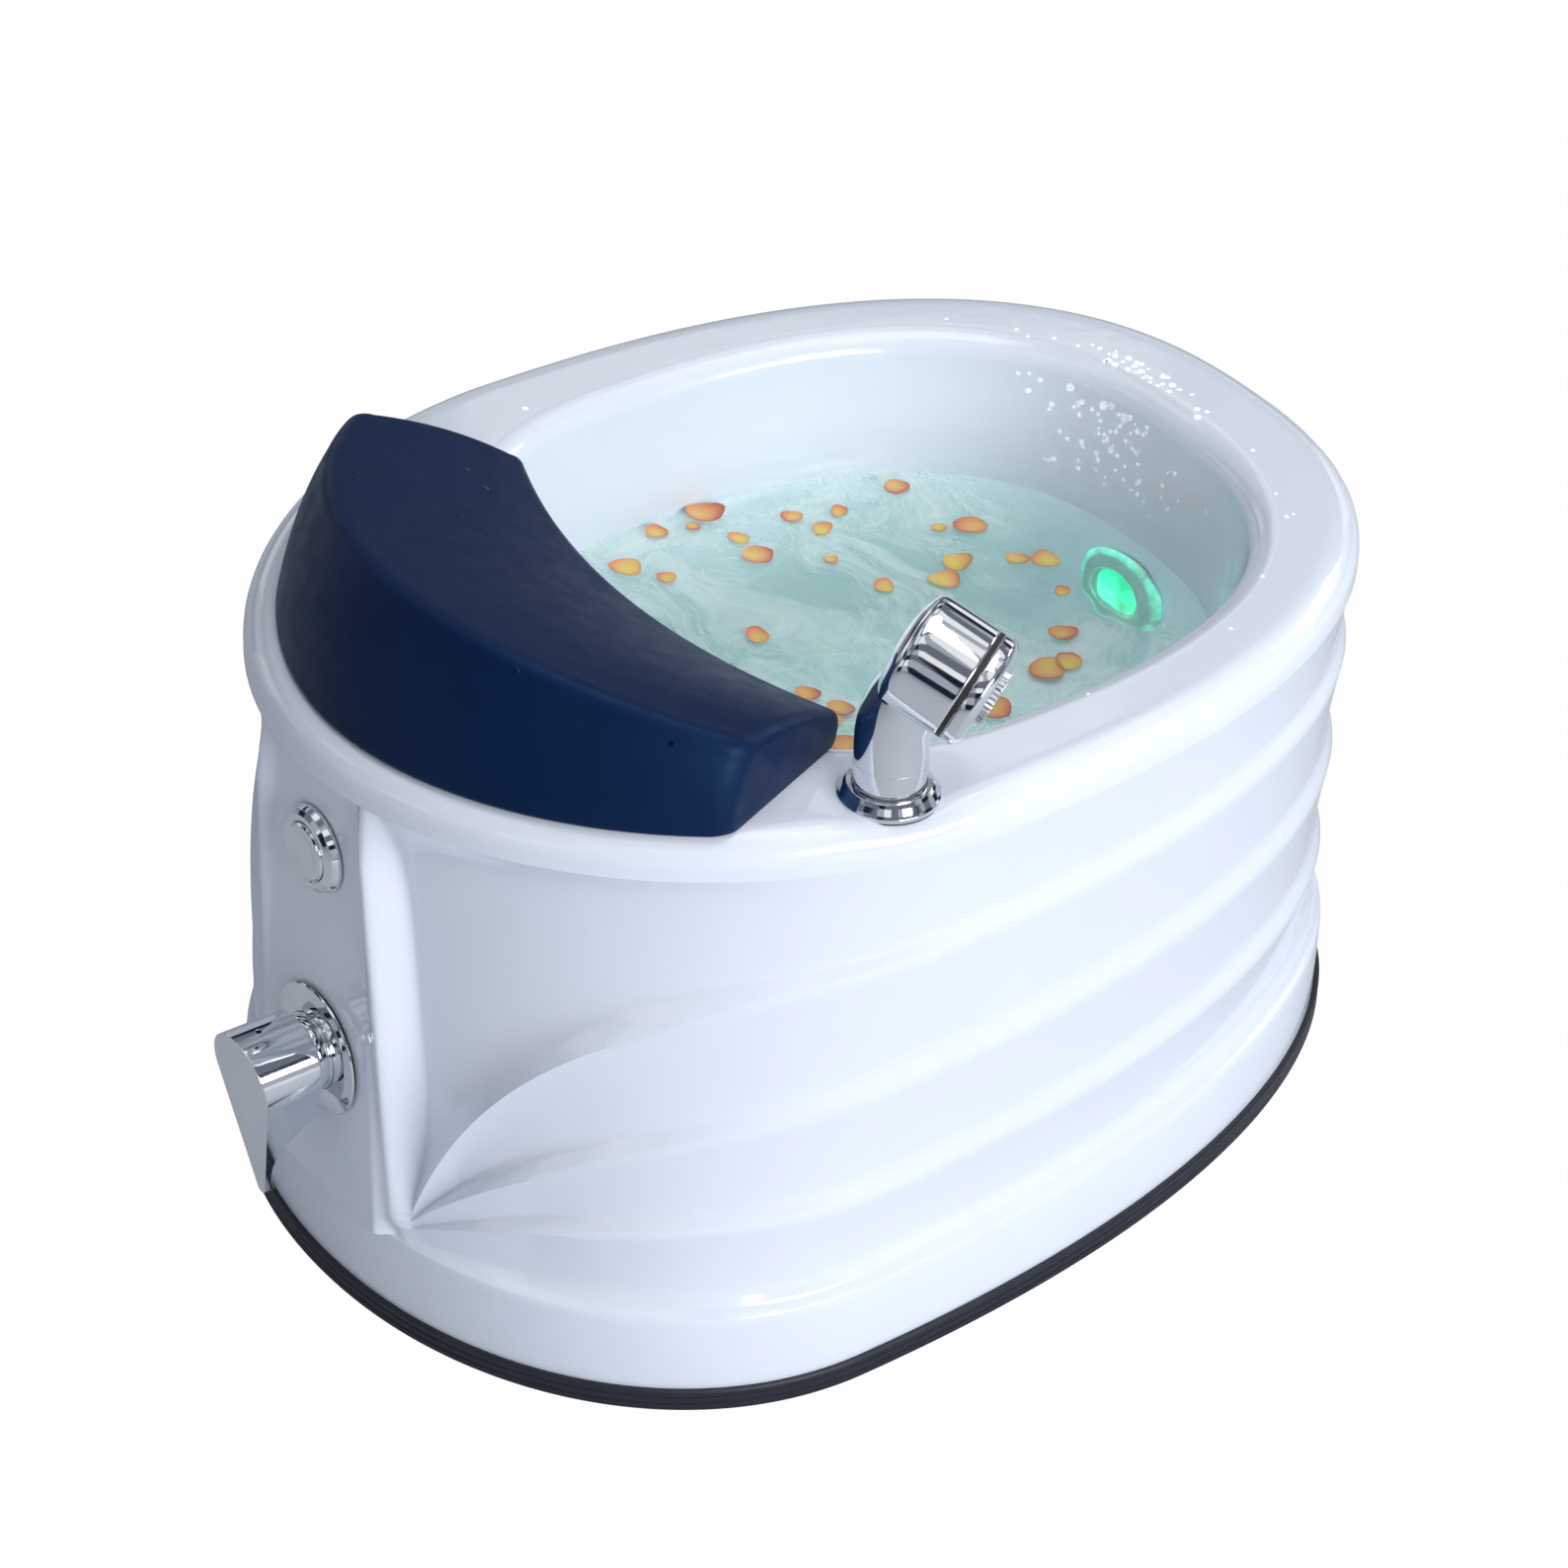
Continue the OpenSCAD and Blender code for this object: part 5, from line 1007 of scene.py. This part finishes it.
# %% Lamps
def soft_box(name, place, aim, size, power, colour=(1, 1, 1)):
    """An area lamp of that size in metres at place, turned to aim."""
    lamp = bpy.data.lights.new(name, "AREA")
    lamp.shape, lamp.size, lamp.size_y = "RECTANGLE", *size
    lamp.energy, lamp.color = power, colour
    holder = bpy.data.objects.new(name, lamp)
    bpy.context.scene.collection.objects.link(holder)
    z = np.asarray(place, float) - np.asarray(aim, float)
    z /= np.linalg.norm(z)
    x = np.cross([0, 0, 1.0], z)
    x /= np.linalg.norm(x)
    turn = np.eye(4)
    turn[:3, :3] = np.stack([x, np.cross(z, x), z], axis=1)
    turn[:3, 3] = place
    holder.matrix_world = Matrix(turn)
    return holder


soft_box("key", (3.0, 0.1, 1.35), (0, 0, 0.2), (2.4, 1.2), 76)
soft_box("top", (0.2, 0.2, 2.6), (0, 0, 0.2), (1.6, 1.6), 16)
soft_box("back", (0.2, 2.8, 1.5), (0, 0, 0.25), (1.2, 0.7), 9)
glow_at = (light_centre + light_axis * 6) * MM
glow_box = soft_box("lens_glow", glow_at, glow_at + light_axis * MM, (0.03, 0.03), 0.05, (0.05, 1.0, 0.55))
glow_box.visible_camera = glow_box.visible_transmission = glow_box.visible_glossy = False

# %% [markdown]
# The room is a dome of panels, seen only in reflections. Its dark, grey and open panels are
# what the chrome shows between the lamps.

# %% Room for reflections
bands = np.radians([2, 12, 24, 33, 41, 52, 66, 80])
turns = np.linspace(0, 2 * np.pi, 25)
# Each row is a band from low to high; 0 to 2 are the tones below, and 3 is left open.
pattern = [(0, 2, 0, 1, 2, 0), (2, 3, 2, 1, 2, 3), (0, 0, 1, 0, 0, 1), (2, 1, 2, 3, 1, 2),
           (1, 1, 0, 1, 1, 1), (3, 2, 3, 3, 2, 3), (1, 2, 1, 2, 1, 1)]
ROOM_R = 3.4
tones = ((0.012, 0.018, 0.040), (0.16, 0.18, 0.22), (0.42, 0.46, 0.52))
panels = [[], [], []]
for b in range(7):
    for k in range(24):
        kind = pattern[b][k % 6]
        if kind < 3:
            panels[kind].append([(turns[k + i], bands[b + j]) for i, j in ((0, 0), (1, 0), (1, 1), (0, 1))])
for kind, quads in enumerate(panels):
    q = np.array(quads)
    turn, lift = q[..., 0], q[..., 1]
    spot = np.stack([np.cos(turn) * np.cos(lift), np.sin(turn) * np.cos(lift), np.sin(lift)], -1) * ROOM_R
    room = mesh_object(f"room_{kind}", spot.reshape(-1, 3), np.arange(len(q) * 4).reshape(-1, 4)[:, ::-1])
    room.visible_camera = room.visible_diffuse = room.visible_shadow = room.visible_transmission = False
    f = Finish(f"room_{kind}", Base_Color=(0, 0, 0, 1), Emission_Color=(*tones[kind], 1),
               Emission_Strength=1.0, Specular_IOR_Level=0.0)
    paint(f.material, room)

bpy.context.scene.view_settings.view_transform = "Standard"

# %% Smooth shading of the CAD nodes
for o in bpy.context.scene.objects:
    if "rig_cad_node" in o:
        o.data.shade_smooth()
        o.data.set_sharp_from_angle(angle=np.radians(30))
